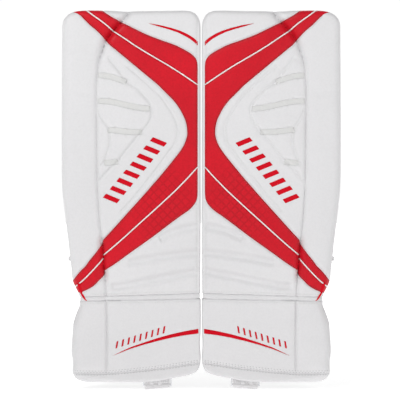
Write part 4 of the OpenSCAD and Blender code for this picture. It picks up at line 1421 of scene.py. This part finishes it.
v, f = back_panel(np.arange(181, 736, 4.0), 8.5, 0.4, puff=0.9, quilts=(452, 578))
piece("rear_panel", v, f, None, "back", ("shin_board", "thigh_board"), blend=("shin", "thigh", (140, -19, 562), (140, -19, 594)))
v, f = back_panel(np.arange(6, 158, 4.0), 9.0, 0.4, puff=0.9, quilts=(60,))
piece("boot_rear_panel", v, f, None, "back", ("boot_board",), blend=("boot", "shin", (130, -9, 134), (130, -9, 165)))

# white edge binding round the rear panels
def rear_loop(z0, z1, inset, y_off):
    zs = np.arange(z0, z1 + 0.1, 4.0)
    rr = 14.0
    left, right = [], []
    for z in zs:
        e = min(z - zs[0], zs[-1] - z)
        k = rr - math.sqrt(max(0, rr * rr - max(0, rr - e) ** 2)) if e < rr else 0.0
        left.append((float(x_in(z)) + inset + k, float(yrear(z)) + y_off, z))
        right.append((float(x_out(z)) - inset - k, float(yrear(z)) + y_off, z))
    bottom = []
    if z0 < 100:
        for x in np.linspace(left[0][0], right[0][0], 60)[1:-1][::-1]:
            bottom.append((x, float(yrear(z0)) + y_off, z0))
    loop = np.array(left + right[::-1] + bottom)
    if z0 < 100:
        zz = lift_toe(loop[:, 0], loop[:, 2])
        loop[:, 1] += yrear(zz) - yrear(loop[:, 2])
        loop[:, 2] = zz
    return resample(loop, 4.0, closed=True)


v, f = tube(rear_loop(181, 735, 8.2, 0.6), 1.5, 8, closed=True)
piece("rear_binding", v, f, None, "white_wing", (), blend=("shin", "thigh", (140, -19, 562), (140, -19, 594)))
v, f = tube(rear_loop(6, 157, 8.7, 0.6), 1.5, 8, closed=True)
piece("boot_rear_binding", v, f, None, "white_wing", (), blend=("boot", "shin", (130, -9, 134), (130, -9, 165)))

# -------------------------------------------------------- leg side padding
CHANNEL = [(55.5, -8), (206, -8), (207, 6), (205, 20), (199, 24), (192, 20), (184, 5), (160, 1), (112, 1), (80, 5), (72, 9), (55.5, 6)]
v, f = prism_pad(CHANNEL, 187.5, 560.5, 5, corner=7, grooves=(240, 300, 360, 420, 480, 530), depth=2.2, gw=3.0, swell=0.0)
piece("leg_channel", v, f, "shin", "liner", ("leg_channel",))
THIGH = [(26, -11), (250, -11), (252, 2), (246, 10), (234, 8), (220, -2), (170, -4), (100, -4), (56, -2), (42, 8), (30, 10), (24, 2)]
v, f = prism_pad(THIGH, 594, 714.5, 5, corner=7, grooves=(632, 672), depth=1.8, gw=3.0)
piece("thigh_liner", v, f, "thigh", "liner", ("thigh_liner",))
v, f = prism_pad([(5, 441), (50, 441), (50, 561), (5, 561)], -7.5, 29.6, 5, corner=10, axis="y", grooves=(11,), depth=1.3, gw=2.4, pitch=3)
piece("knee_block", v, f, "shin", "white_wing", ("knee_block",))
v, f = prism_pad([(6, 445), (49, 445), (49, 557), (6, 557)], 30.6, 55.5, 7, corner=13, axis="y", grooves=(), swell=0.0, dome=3.6, pitch=3)
piece("knee_cushion", v, f, "shin", "rubber", ("knee_cushion",))
v, f = tube(catmull(rounded([(5.4, 441.4), (49.6, 441.4), (49.6, 560.6), (5.4, 560.6)], 11), 3.0, closed=True)[:, [0, 1]] @ np.array([[1, 0, 0], [0, 0, 1.0]]) + np.array([0, 29.9, 0]), 1.5, 8, closed=True)
piece("knee_piping", v, f, "shin", "black", ())
v, f = prism_pad([(5, 201), (50, 201), (50, 431), (5, 431)], -7.5, 23.6, 6, corner=12, axis="y", grooves=(8,), depth=1.2, gw=2.4, pitch=3)
piece("calf_riser", v, f, "shin", "white_wing", ("calf_riser",))


def spacer(name, x0, x1, z0, z1, y_top, body, mat, n=10):
    """The foam layer between the rear panel and what is sewn on it."""
    rings = []
    zs = np.linspace(z0, z1, max(8, int((z1 - z0) / 14)))
    for i, z in enumerate(zs):
        e = min(z - z0, z1 - z)
        ins = 3.0 * (1 - math.sqrt(max(0, 1 - (1 - min(e / 3.0, 1)) ** 2)))
        yb = float(yrear(z)) + 1.55
        a, b = x0 + ins, x1 - ins
        x = np.r_[np.linspace(a, b, 12), np.full(3, b + 0.6), np.linspace(b, a, 12), np.full(3, a - 0.6)]
        y = np.r_[np.full(12, yb), np.linspace(yb, y_top, 5)[1:-1], np.full(12, y_top), np.linspace(y_top, yb, 5)[1:-1]]
        rings.append(np.column_stack([x, y, np.full(len(x), z)]))
    v, f = ring_mesh(rings)
    piece(name, v, f, body, mat, (), post=sharpen)


spacer("channel_base", 57.5, 204.5, 188.2, 559.8, -7.2, "shin", "back")
spacer("knee_base", 8, 48, 444, 556, -7.2, "shin", "black")
spacer("calf_base", 8, 48, 206, 426, -7.2, "shin", "black")
spacer("thigh_base", 27.5, 248.5, 594.8, 713.6, -10.2, "thigh", "back")
# the gusset behind the ankle: a soft folded strip
rows = []
zs = np.linspace(147, 179, 22)
for z in zs:
    x = np.linspace(31, 225, 50)
    y = -6.6 + 0.5 * math.sin((z - 147) / 32 * math.pi * 3) * np.ones(50)
    rows.append(np.column_stack([x, y - 0.0, np.full(50, z)]))
V = np.array(rows).reshape(-1, 3)
F = []
for i in range(len(zs) - 1):
    for k in range(49):
        a = i * 50 + k
        F += [(a, a + 51, a + 50), (a, a + 1, a + 51)]
N = vertex_normals(V, F)
if N[:, 1].mean() < 0:
    F = [t[::-1] for t in F]
    N = -N
v, f = shell(V, F, N, 1.2)
piece("ankle_gusset", v, f, None, "back", ("ankle_gusset",), blend=("boot", "shin", (130, -9, 150), (130, -9, 176)))

# a folded strip that closes the pad's back between the boot panel and the shin panel
zs = np.linspace(156.4, 182.0, 20)
rows = []
for z in zs:
    x = np.linspace(float(x_in(z)) + 8.6, float(x_out(z)) - 8.6, 60)
    t_ = (z - 156.4) / 25.6
    rows.append(np.column_stack([x, np.full(60, float(yrear(z)) - 0.75 + 0.5 * math.sin(t_ * math.pi * 4)), np.full(60, z)]))
V = np.array(rows).reshape(-1, 3)
F = []
for i in range(len(zs) - 1):
    for k in range(59):
        a = i * 60 + k
        F += [(a, a + 61, a + 60), (a, a + 1, a + 61)]
N = vertex_normals(V, F)
if N[:, 1].mean() < 0:
    F = [t[::-1] for t in F]
    N = -N
v, f = shell(V, F, N, 1.0)
piece("ankle_rear_strip", v, f, None, "back", (), blend=("boot", "shin", (130, -9, 152), (130, -9, 178)))


# ------------------------------------------------------------ calf wings
def arc(cx, cy, r, a0, a1, z, n=24):
    return [(cx + r * math.cos(math.radians(a)), cy + r * math.sin(math.radians(a)), z) for a in np.linspace(a0, a1, n)]


def wing_relief(z0, z1, lines, L, amp=1.0):
    def fn(s, a):
        v = -2.3 * sum(math.exp(-((a - q) / 2.0) ** 2) for q in lines)
        edge = min((z1 - z0) / 2 - abs(a), 60)
        v -= 1.3 * math.exp(-((edge - 9) / 1.5) ** 2)
        v -= 1.3 * math.exp(-((L - s - 9) / 1.5) ** 2)
        v += 0.35 * math.sin(s * 0.21 + a * 0.11) * math.sin(a * 0.17 - s * 0.05)
        return v * amp
    return fn


def path_len(p):
    return float(np.linalg.norm(np.diff(p, axis=0), axis=1).sum())


ZM = (216 + 426) / 2
outer_path = path3([(213, 3, ZM), (213, 14, ZM), (213, 26, ZM), (213, 42, ZM)] + arc(136, 56, 77, 0, 69.5, ZM), 3.5)
L = path_len(outer_path)
v, f = sweep(outer_path, (0, 0, 1), 103.5, 4.4, n=84, p=9, end_r=(3, 26), relief=wing_relief(216, 426, (-60, -20, 20, 60), L), face=wing_relief(216, 426, (-60, -20, 20, 60), L, 0.8))
piece("calf_wing_outer", v, f, "outer_wing", "white_wing", ("calf_wing_outer",))
ZM2 = (226 + 416) / 2
inner_path = path3([(59, 35, ZM2), (59, 45, ZM2)] + arc(136, 56, 77, 180, 112.5, ZM2), 3.5)
L = path_len(inner_path)
v, f = sweep(inner_path, (0, 0, 1), 93.5, 4.4, n=76, p=9, end_r=(3, 26), relief=wing_relief(226, 416, (-48, 0, 48), L), face=wing_relief(226, 416, (-48, 0, 48), L, 0.8))
piece("calf_wing_inner", v, f, "inner_wing", "white_wing", ("calf_wing_inner",))


def wing_rows(path, z_mid, half, lines, sign):
    rows = []
    s_ = np.r_[0, np.cumsum(np.linalg.norm(np.diff(path, axis=0), axis=1))]
    L_ = s_[-1]
    t_ = np.arange(8.0, L_ - 11, 2.0)
    Q = np.column_stack([np.interp(t_, s_, path[:, k]) for k in range(3)])
    T_ = np.gradient(Q, axis=0)
    T_ /= np.linalg.norm(T_, axis=1, keepdims=True)
    N_ = np.cross(T_, np.array((0, 0, 1.0)))
    N_ /= np.linalg.norm(N_, axis=1, keepdims=True)
    for side in (1, -1):
        for a_ in lines:
            for o_ in (-2.6, 2.6):
                rows += stitch_row(Q + np.array((0, 0, a_ + o_)) + N_ * side * 4.15, N_ * side, 3.4, 1.9, 0.5)
        for a_ in (half - 12.5, -half + 12.5):
            rows += stitch_row(Q + np.array((0, 0, a_)) + N_ * side * 4.25, N_ * side, 3.4, 1.9, 0.5)
        e_ = Q[-1] + N_[-1] * side * 4.2
        z_ = np.linspace(-half + 24, half - 24, 60)
        rows += stitch_row(np.column_stack([np.full(60, e_[0]), np.full(60, e_[1]), z_mid + z_]), N_[-1] * side, 3.4, 1.9, 0.5)
    return merge(rows)


v, f = wing_rows(outer_path, ZM, 103.5, (-60, -20, 20, 60), 1)
piece("wing_outer_stitches", v, f, "outer_wing", "thread_grey", ())
v, f = wing_rows(inner_path, ZM2, 93.5, (-48, 0, 48), 1)
piece("wing_inner_stitches", v, f, "inner_wing", "thread_grey", ())


# ---------------------------------------------------------------- straps
def strap(name, path, z, half_w, body, mat, node, half_t=1.2, ends=(2, 8), rib=0.0):
    P = path3([(x, y, z) for x, y in path], 3.0)
    L = path_len(P)
    rel = (lambda s, a: 0.12 * math.sin(s * 1.05)) if rib else None
    v, f = sweep(P, (0, 0, 1), half_w, half_t, n=16, p=14, end_r=ends, relief=rel)
    piece(name, v, f, body, mat, (node,) if node else ())
    return P, L


def along(P, s0, s1, z_off=0.0, n_off=0.0, step=1.5):
    s = np.r_[0, np.cumsum(np.linalg.norm(np.diff(P, axis=0), axis=1))]
    t = np.arange(s0, s1 + 1e-6, step)
    Q = np.column_stack([np.interp(t, s, P[:, k]) for k in range(3)])
    T = np.gradient(Q, axis=0)
    T /= np.linalg.norm(T, axis=1, keepdims=True)
    N = np.cross(T, np.array((0, 0, 1.0)))
    N /= np.linalg.norm(N, axis=1, keepdims=True)
    return Q + N * n_off + np.array((0, 0, z_off)), N


def box_stitch(P, s0, s1, half, n_off, sign=1):
    """Rows of stitches round and across the end of a strap."""
    parts = []
    for zo in (-half, half):
        q, N = along(P, s0, s1, zo, n_off)
        parts += stitch_row(q, N * sign, 2.6, 1.4, 0.4)
    for sx in (s0, s1):
        c, N = along(P, sx, sx + 1.0, 0, n_off, 0.5)
        q = np.array([c[0] + np.array((0, 0, t)) for t in np.linspace(-half, half, 20)])
        parts += stitch_row(q, np.repeat(N[:1] * sign, 20, 0), 2.6, 1.4, 0.4)
    for k in (-1, 1):
        c, N = along(P, s0, s1, 0, n_off)
        z = np.linspace(-half * k, half * k, len(c))
        c[:, 2] += z
        parts += stitch_row(c, N * sign, 2.6, 1.4, 0.4)
    return parts


calf_pts = [(x, y) for x, y, _ in arc(136, 56, 84.1, 40.5, 147.5, 0, 40)]
P, L = strap("calf_strap", calf_pts, 319, 18.6, "calf_strap_body", "elastic", "calf_strap", rib=1)
# hook pad and its sewn end, on the free end
v, f = sweep(along(P, L - 46, L - 2, 0, 1.75)[0], (0, 0, 1), 17, 0.7, n=14, p=14, end_r=(6, 7))
piece("calf_hook_pad", v, f, "calf_strap_body", "hook", ())
v, f = sweep(along(P, 1.5, 30, 0, 1.8)[0], (0, 0, 1), 16.8, 0.75, n=14, p=14, end_r=(3, 3))
piece("calf_strap_patch", v, f, "calf_strap_body", "black", ())
v, f = merge(box_stitch(P, 5, 27, 13, 2.6) + box_stitch(P, L - 42, L - 10, 13.2, 2.5))
piece("calf_strap_stitches", v, f, "calf_strap_body", "thread", ())

knee_pts = [(213, 3), (213, 14), (213, 26), (213, 42)] + [(x, y) for x, y, _ in arc(136, 56, 77, 0, 128, 0, 44)] + [(77, 102), (66, 88), (52, 70), (44, 63.2), (34, 62.2), (15, 62.2)]
P, L = strap("knee_strap", knee_pts, 501, 24.4, "knee_strap_body", "elastic", "knee_strap", rib=1)
v, f = sweep(along(P, L - 62, L - 3, 0, 1.75)[0], (0, 0, 1), 21, 0.7, n=14, p=14, end_r=(6, 8))
piece("knee_hook_pad", v, f, "knee_strap_body", "hook", ())
v, f = sweep(along(P, 4, 44, 0, 1.8)[0], (0, 0, 1), 22, 0.75, n=14, p=14, end_r=(3, 3))
piece("knee_strap_patch", v, f, "knee_strap_body", "black", ())
v, f = merge(box_stitch(P, 8, 40, 18, 2.6))
piece("knee_strap_stitches", v, f, "knee_strap_body", "thread", ())

boot_pts = [(226, -12.5), (226, -3), (226, 7), (226, 22)] + [(x, y) for x, y, _ in arc(131, 34, 95, 0, 180, 0, 60)] + [(36, 20), (36, 8), (38, -3), (44, -10.6), (52, -13.0), (60, -13.4)]
P, L = strap("boot_strap", boot_pts, 90.5, 12.2, "boot_strap_body", "black", "boot_strap", half_t=1.35)
v, f = merge([p for o in (-9.6, 9.6) for p in stitch_row(*[a for a in along(P, 6, L - 6, o, 1.3, 2.0)], 3.2, 1.8, 0.36)])
piece("boot_strap_stitches", v, f, "boot_strap_body", "thread_black", ())
# buckle on the outer side: a rectangular frame, its prong and a keeper loop
bs = 60.0
c, N = along(P, bs, bs + 1, 0, 0, 0.5)
c0, n0 = c[0], N[0]
t0 = np.cross((0, 0, 1.0), n0)
frame_pts = []
for a, b in ((-11, -16), (11, -16), (11, 16), (-11, 16)):
    frame_pts.append((a, b))
fp = rounded(frame_pts, 5, 2.0)
loop = np.array([c0 + t0 * a + np.array((0, 0, b)) + n0 * (3.2) for a, b in fp])
v1 = tube(loop, 1.55, 10, closed=True)
prong = np.array([c0 + t0 * a + n0 * h for a, h in ((-11, 4.0), (-5, 4.9), (2, 4.6), (8, 3.9), (12.5, 4.6))])
v2 = tube(catmull(prong, 1.2), 1.1, 8)
v, f = merge([v1, v2])
piece("boot_buckle", v, f, "boot_strap_body", "metal", ())
kp, kN = along(P, bs + 20, bs + 28, 0, 0)
kc, kn = kp[0], kN[0]
kt = np.cross((0, 0, 1.0), kn)
ring = rounded([(-2.4, -13.4), (2.8, -13.4), (2.8, 13.4), (-2.4, 13.4)], 1.6, 1.6)
body_pts = np.array([kc + kn * a + np.array((0, 0, b)) for a, b in ring])
v, f = tube(body_pts, 1.0, 6, closed=True, flat=1.0)
rings = []
for off in np.linspace(-3.6, 3.6, 5):
    e = 1 - 0.08 * abs(off)
    rings.append(np.array([kc + kt * off + kn * (0.2 + (a - 0.2) * 1.22) + np.array((0, 0, b * 1.04)) for a, b in ring]))
inn = []
for off in np.linspace(3.6, -3.6, 5):
    inn.append(np.array([kc + kt * off + kn * (0.2 + (a - 0.2) * 0.82) + np.array((0, 0, b * 0.955)) for a, b in ring]))
v, f = ring_mesh(rings + inn, closed=True)
piece("boot_keeper", v, f, "boot_strap_body", "black", ())

# ----------------------------------------------------------------- toe tab
prof = [(-28.6, -9.0), (-40, -9.0), (-52, -9.0), (-58, -9.2)]
prof += [(-64 + 3.1 * math.cos(math.radians(a)), -6 + 3.1 * math.sin(math.radians(a))) for a in (300, 330, 0, 30, 60, 90, 120, 150, 180)]
prof += [(-67.15, -9), (-67.1, -12.6), (-66.9, -15.9)]
prof = catmull(prof, 1.2)
ps = np.r_[0, np.cumsum(np.linalg.norm(np.diff(prof, axis=0), axis=1))]
SL = ps[-1]
outline = rounded([(63.2, 0.2), (112.8, 0.2), (112.8, SL - 0.2), (63.2, SL - 4.2)], 2.2, 1.8)
holes = []
for hx in (75.0, 101.0):
    hs = float(ps[np.argmin(np.abs(prof[:20, 0] + 40))])
    holes.append(np.array([(hx + 5.2 * math.cos(a), hs + 5.2 * math.sin(a)) for a in np.linspace(0, 2 * math.pi, 25)[:-1]]))
verts, edges = [], []
for loop in [outline] + holes:
    b = len(verts)
    verts += [tuple(q) for q in loop]
    edges += [(b + i, b + (i + 1) % len(loop)) for i in range(len(loop))]
gx, gs = np.meshgrid(np.arange(64.5, 112, 2.6), np.arange(1.4, SL - 1, 1.5))
g = np.column_stack([gx.ravel(), gs.ravel()])
g = g[inside(g, outline) & (seg_dist(g, outline, closed=True) > 0.7)]
for h in holes:
    g = g[~inside(g, h) & (seg_dist(g, h, closed=True) > 0.7)]
verts += [tuple(q) for q in g]
res = geometry.delaunay_2d_cdt([Vector(q) for q in verts], edges, [], 0, 0.01)
P2 = np.array([(q.x, q.y) for q in res[0]])
T2 = np.array([t for t in res[2] if len(t) == 3])
cc = P2[T2].mean(1)
ok = inside(cc, outline)
for h in holes:
    ok &= ~inside(cc, h)
T2 = T2[ok]
used, inv = np.unique(T2, return_inverse=True)
T2 = inv.reshape(T2.shape)
P2 = P2[used]
V = np.column_stack([P2[:, 0], np.interp(P2[:, 1], ps, prof[:, 0]), np.interp(P2[:, 1], ps, prof[:, 1])])
N = vertex_normals(V, T2)
v, f = shell(V, T2, N, 1.3)
v2 = v - 0.0
half = len(V)
v2[:half] = V + N * 1.2
v2[half:] = V - N * 1.2
v, f = oriented(v2, f)
piece("toe_tab", v, f, "toe_tab_body", "webbing", ("toe_tab",))
rows = []
for xx in (66.0, 110.0):
    rows += stitch_row(np.array([(xx, y, -10.25) for y in np.linspace(-58, -31, 24)]), (0, 0, -1), 2.6, 1.4, 0.38)
    rows += stitch_row(np.array([(xx, y, -7.75) for y in np.linspace(-56, -31, 24)]), (0, 0, 1), 2.6, 1.4, 0.38)
for yy in (-55.0, -31.5):
    rows += stitch_row(np.array([(x, yy, -10.25) for x in np.linspace(66, 110, 30)]), (0, 0, -1), 2.6, 1.4, 0.38)
rows += stitch_row(np.array([(x, -68.35, -8.6 - (x - 63) * 0.0) for x in np.linspace(65, 111, 30)]), (0, -1, 0), 2.6, 1.4, 0.38)
v, f = merge(rows)
piece("toe_tab_stitches", v, f, "toe_tab_body", "thread", ())

# the webbing that comes out below the toe and carries the bar, with two keeper loops
cx_ = np.linspace(62.6, 113.4, 40)
rings = []
for z_, y_ in ((11.0, -66.0), (7.0, -68.4), (3.5, -69.9), (1.0, -70.5), (-1.5, -70.7), (-4.0, -70.5)):
    zz_ = z_ + (0.02 if z_ < 0 else 0.0) * (113.4 - cx_)
    rings.append(np.column_stack([np.r_[cx_, cx_[::-1]], np.r_[np.full(40, y_ - 0.55), np.full(40, y_ + 0.55)], np.r_[zz_, zz_[::-1]]]))
v, f = ring_mesh(rings)
piece("toe_webbing", v, f, "boot", "webbing", (), post=sharpen)
rows = []
for z_ in (-0.6, 1.6):
    rows += stitch_row(np.column_stack([np.linspace(64.5, 111.5, 60), np.full(60, -71.15), np.full(60, z_)]), (0, -1, 0), 2.6, 1.4, 0.38)
v, f = merge(rows)
piece("toe_webbing_stitches", v, f, "boot", "thread_grey", ())
loops = []
for a_, b_ in ((79.0, 86.5), (95.5, 103.0)):
    mid_ = (a_ + b_) / 2
    pth = catmull([(mid_, -69.0, 6.5), (mid_, -71.2, 3.5), (mid_, -72.3, 0.0), (mid_, -72.0, -3.6), (mid_, -70.9, -5.0)], 1.2)
    loops.append(sweep(pth, (1, 0, 0), (b_ - a_) / 2, 0.55, n=10, p=10, end_r=(1, 1)))
v, f = merge(loops)
piece("toe_keepers", v, f, "boot", "white_wing", ())

# --------------------------------------------- side tab on the outer edge
xo = float(x_out(245))
yr_, yf_ = float(yrear(245)), float(yfront(245))
tab = []
tp = path3([(xo - 6, yf_ + 16, 245), (xo + 1.4, yf_ + 15, 245), (xo + 3.4, yf_ + 20, 245), (xo + 3.4, yr_ - 14, 245), (xo + 1.4, yr_ - 8, 245), (xo - 6, yr_ - 6, 245)], 2.0)
v, f = sweep(tp, (0, 0, 1), 4.4, 0.9, n=10, p=12, end_r=(1, 1))
piece("side_loop", v, f, "shin", "webbing", ())

# ------------------------------------------- kept metal parts: new finish
for s in SIDES:
    for n in ("toe_anchor", "toe_eyelets"):
        ob = bpy.data.objects.get(f"{s}_{n}")
        if ob:
            for sl in ob.material_slots:
                sl.material = MATS["metal"]

# a red leather tongue that runs down the outer corner to the ankle
tongue = []
tz = np.linspace(196, 161, 30)
tx = np.interp(tz, [161, 169, 177, 186, 196], [230.5, 236.5, 240.8, 243.2, 246.0])
ty = []
for x_, z_ in zip(tx, tz):
    q_ = np.array([[min(x_, float(x_out(z_)) - 1.2), max(z_, float(UP(x_)) + 1.0)]])
    ty.append(float(upper_height(q_)[0]))
ty = np.array(ty) - np.interp(tz, [161, 168, 175, 196], [0.4, 1.6, 1.0, 0.7])
v, f = sweep(np.column_stack([tx, ty, tz]), (1, 0, 0.35), lambda s_: 4.0 - 1.0 * s_ / 40, 0.7, n=10, p=8, end_r=(2, 3))
piece("ankle_tongue", v, f, None, "red_mark", (), blend=("boot", "shin", (130, -9, 152), (130, -9, 178)))

# ------------------------------------------------------- floor and light
def stage_floor(verts):
    me = bpy.data.meshes.new("floor")
    me.from_pydata(verts, [], [(0, 1, 2, 3)])
    ob = bpy.data.objects.new("floor", me)
    bpy.context.scene.collection.objects.link(ob)
    m, nt, p = new_material("floor")
    p.inputs["Base Color"].default_value = (0.72, 0.72, 0.72, 1)
    p.inputs["Roughness"].default_value = 0.95
    p.inputs["Specular IOR Level"].default_value = 0.1
    p.inputs["Emission Color"].default_value = (1, 1, 1, 1)
    tc = nt.nodes.new("ShaderNodeTexCoord")
    sp = nt.nodes.new("ShaderNodeSeparateXYZ")
    nt.links.new(tc.outputs["Object"], sp.inputs[0])
    # the floor glows as painted light and lights the pads from below; the glow is dimmer far in front of the pads than
    # near and behind them, and grows further out
    r2 = maths(nt, "ADD", maths(nt, "MULTIPLY", sp.outputs["X"], sp.outputs["X"]), maths(nt, "MULTIPLY", sp.outputs["Y"], sp.outputs["Y"]))
    glow = maths(nt, "ADD", spread(nt, sp.outputs["Y"], 0.16, 0.66, -1.2, -0.3), spread(nt, r2, 0.0, 0.66, 0.8, 14.0))
    nt.links.new(glow, p.inputs["Emission Strength"])
    me.materials.append(m)
    return ob


low = cad_box[0][2] - 0.001
stage_floor([(-30, -30, low), (30, -30, low), (30, 30, low), (-30, 30, low)])


def area(name, loc, target, size, power, size_y=None):
    d = bpy.data.lights.new(name, "AREA")
    d.shape = "RECTANGLE"
    d.size, d.size_y = size, size_y or size
    d.energy = power
    o = bpy.data.objects.new(name, d)
    bpy.context.scene.collection.objects.link(o)
    o.location = loc
    o.rotation_euler = (Vector(target) - Vector(loc)).to_track_quat("-Z", "Y").to_euler()
    return o


area("key", (-1.3, -2.4, 2.7), (0, 0, 0.42), 0.9, 44)
area("fill", (1.8, -2.8, 1.6), (0, 0, 0.40), 1.4, 14)
area("rear", (0.3, 2.4, 2.0), (0, 0, 0.4), 1.8, 16)
world = bpy.data.worlds.new("world")
world.use_nodes = True
wt = world.node_tree
bg = wt.nodes["Background"]
bg.inputs["Color"].default_value = (1, 1, 1, 1)
tc = wt.nodes.new("ShaderNodeTexCoord")
sp = wt.nodes.new("ShaderNodeSeparateXYZ")
wt.links.new(tc.outputs["Generated"], sp.inputs[0])
# a bright low horizon all round, and a dimmer sky above it
wt.links.new(spread(wt, sp.outputs["Z"], 1.02, 0.28, 0.14, 0.36), bg.inputs["Strength"])
bpy.context.scene.world = world
bpy.context.scene.view_settings.view_transform = "Standard"

bpy.context.view_layer.update()
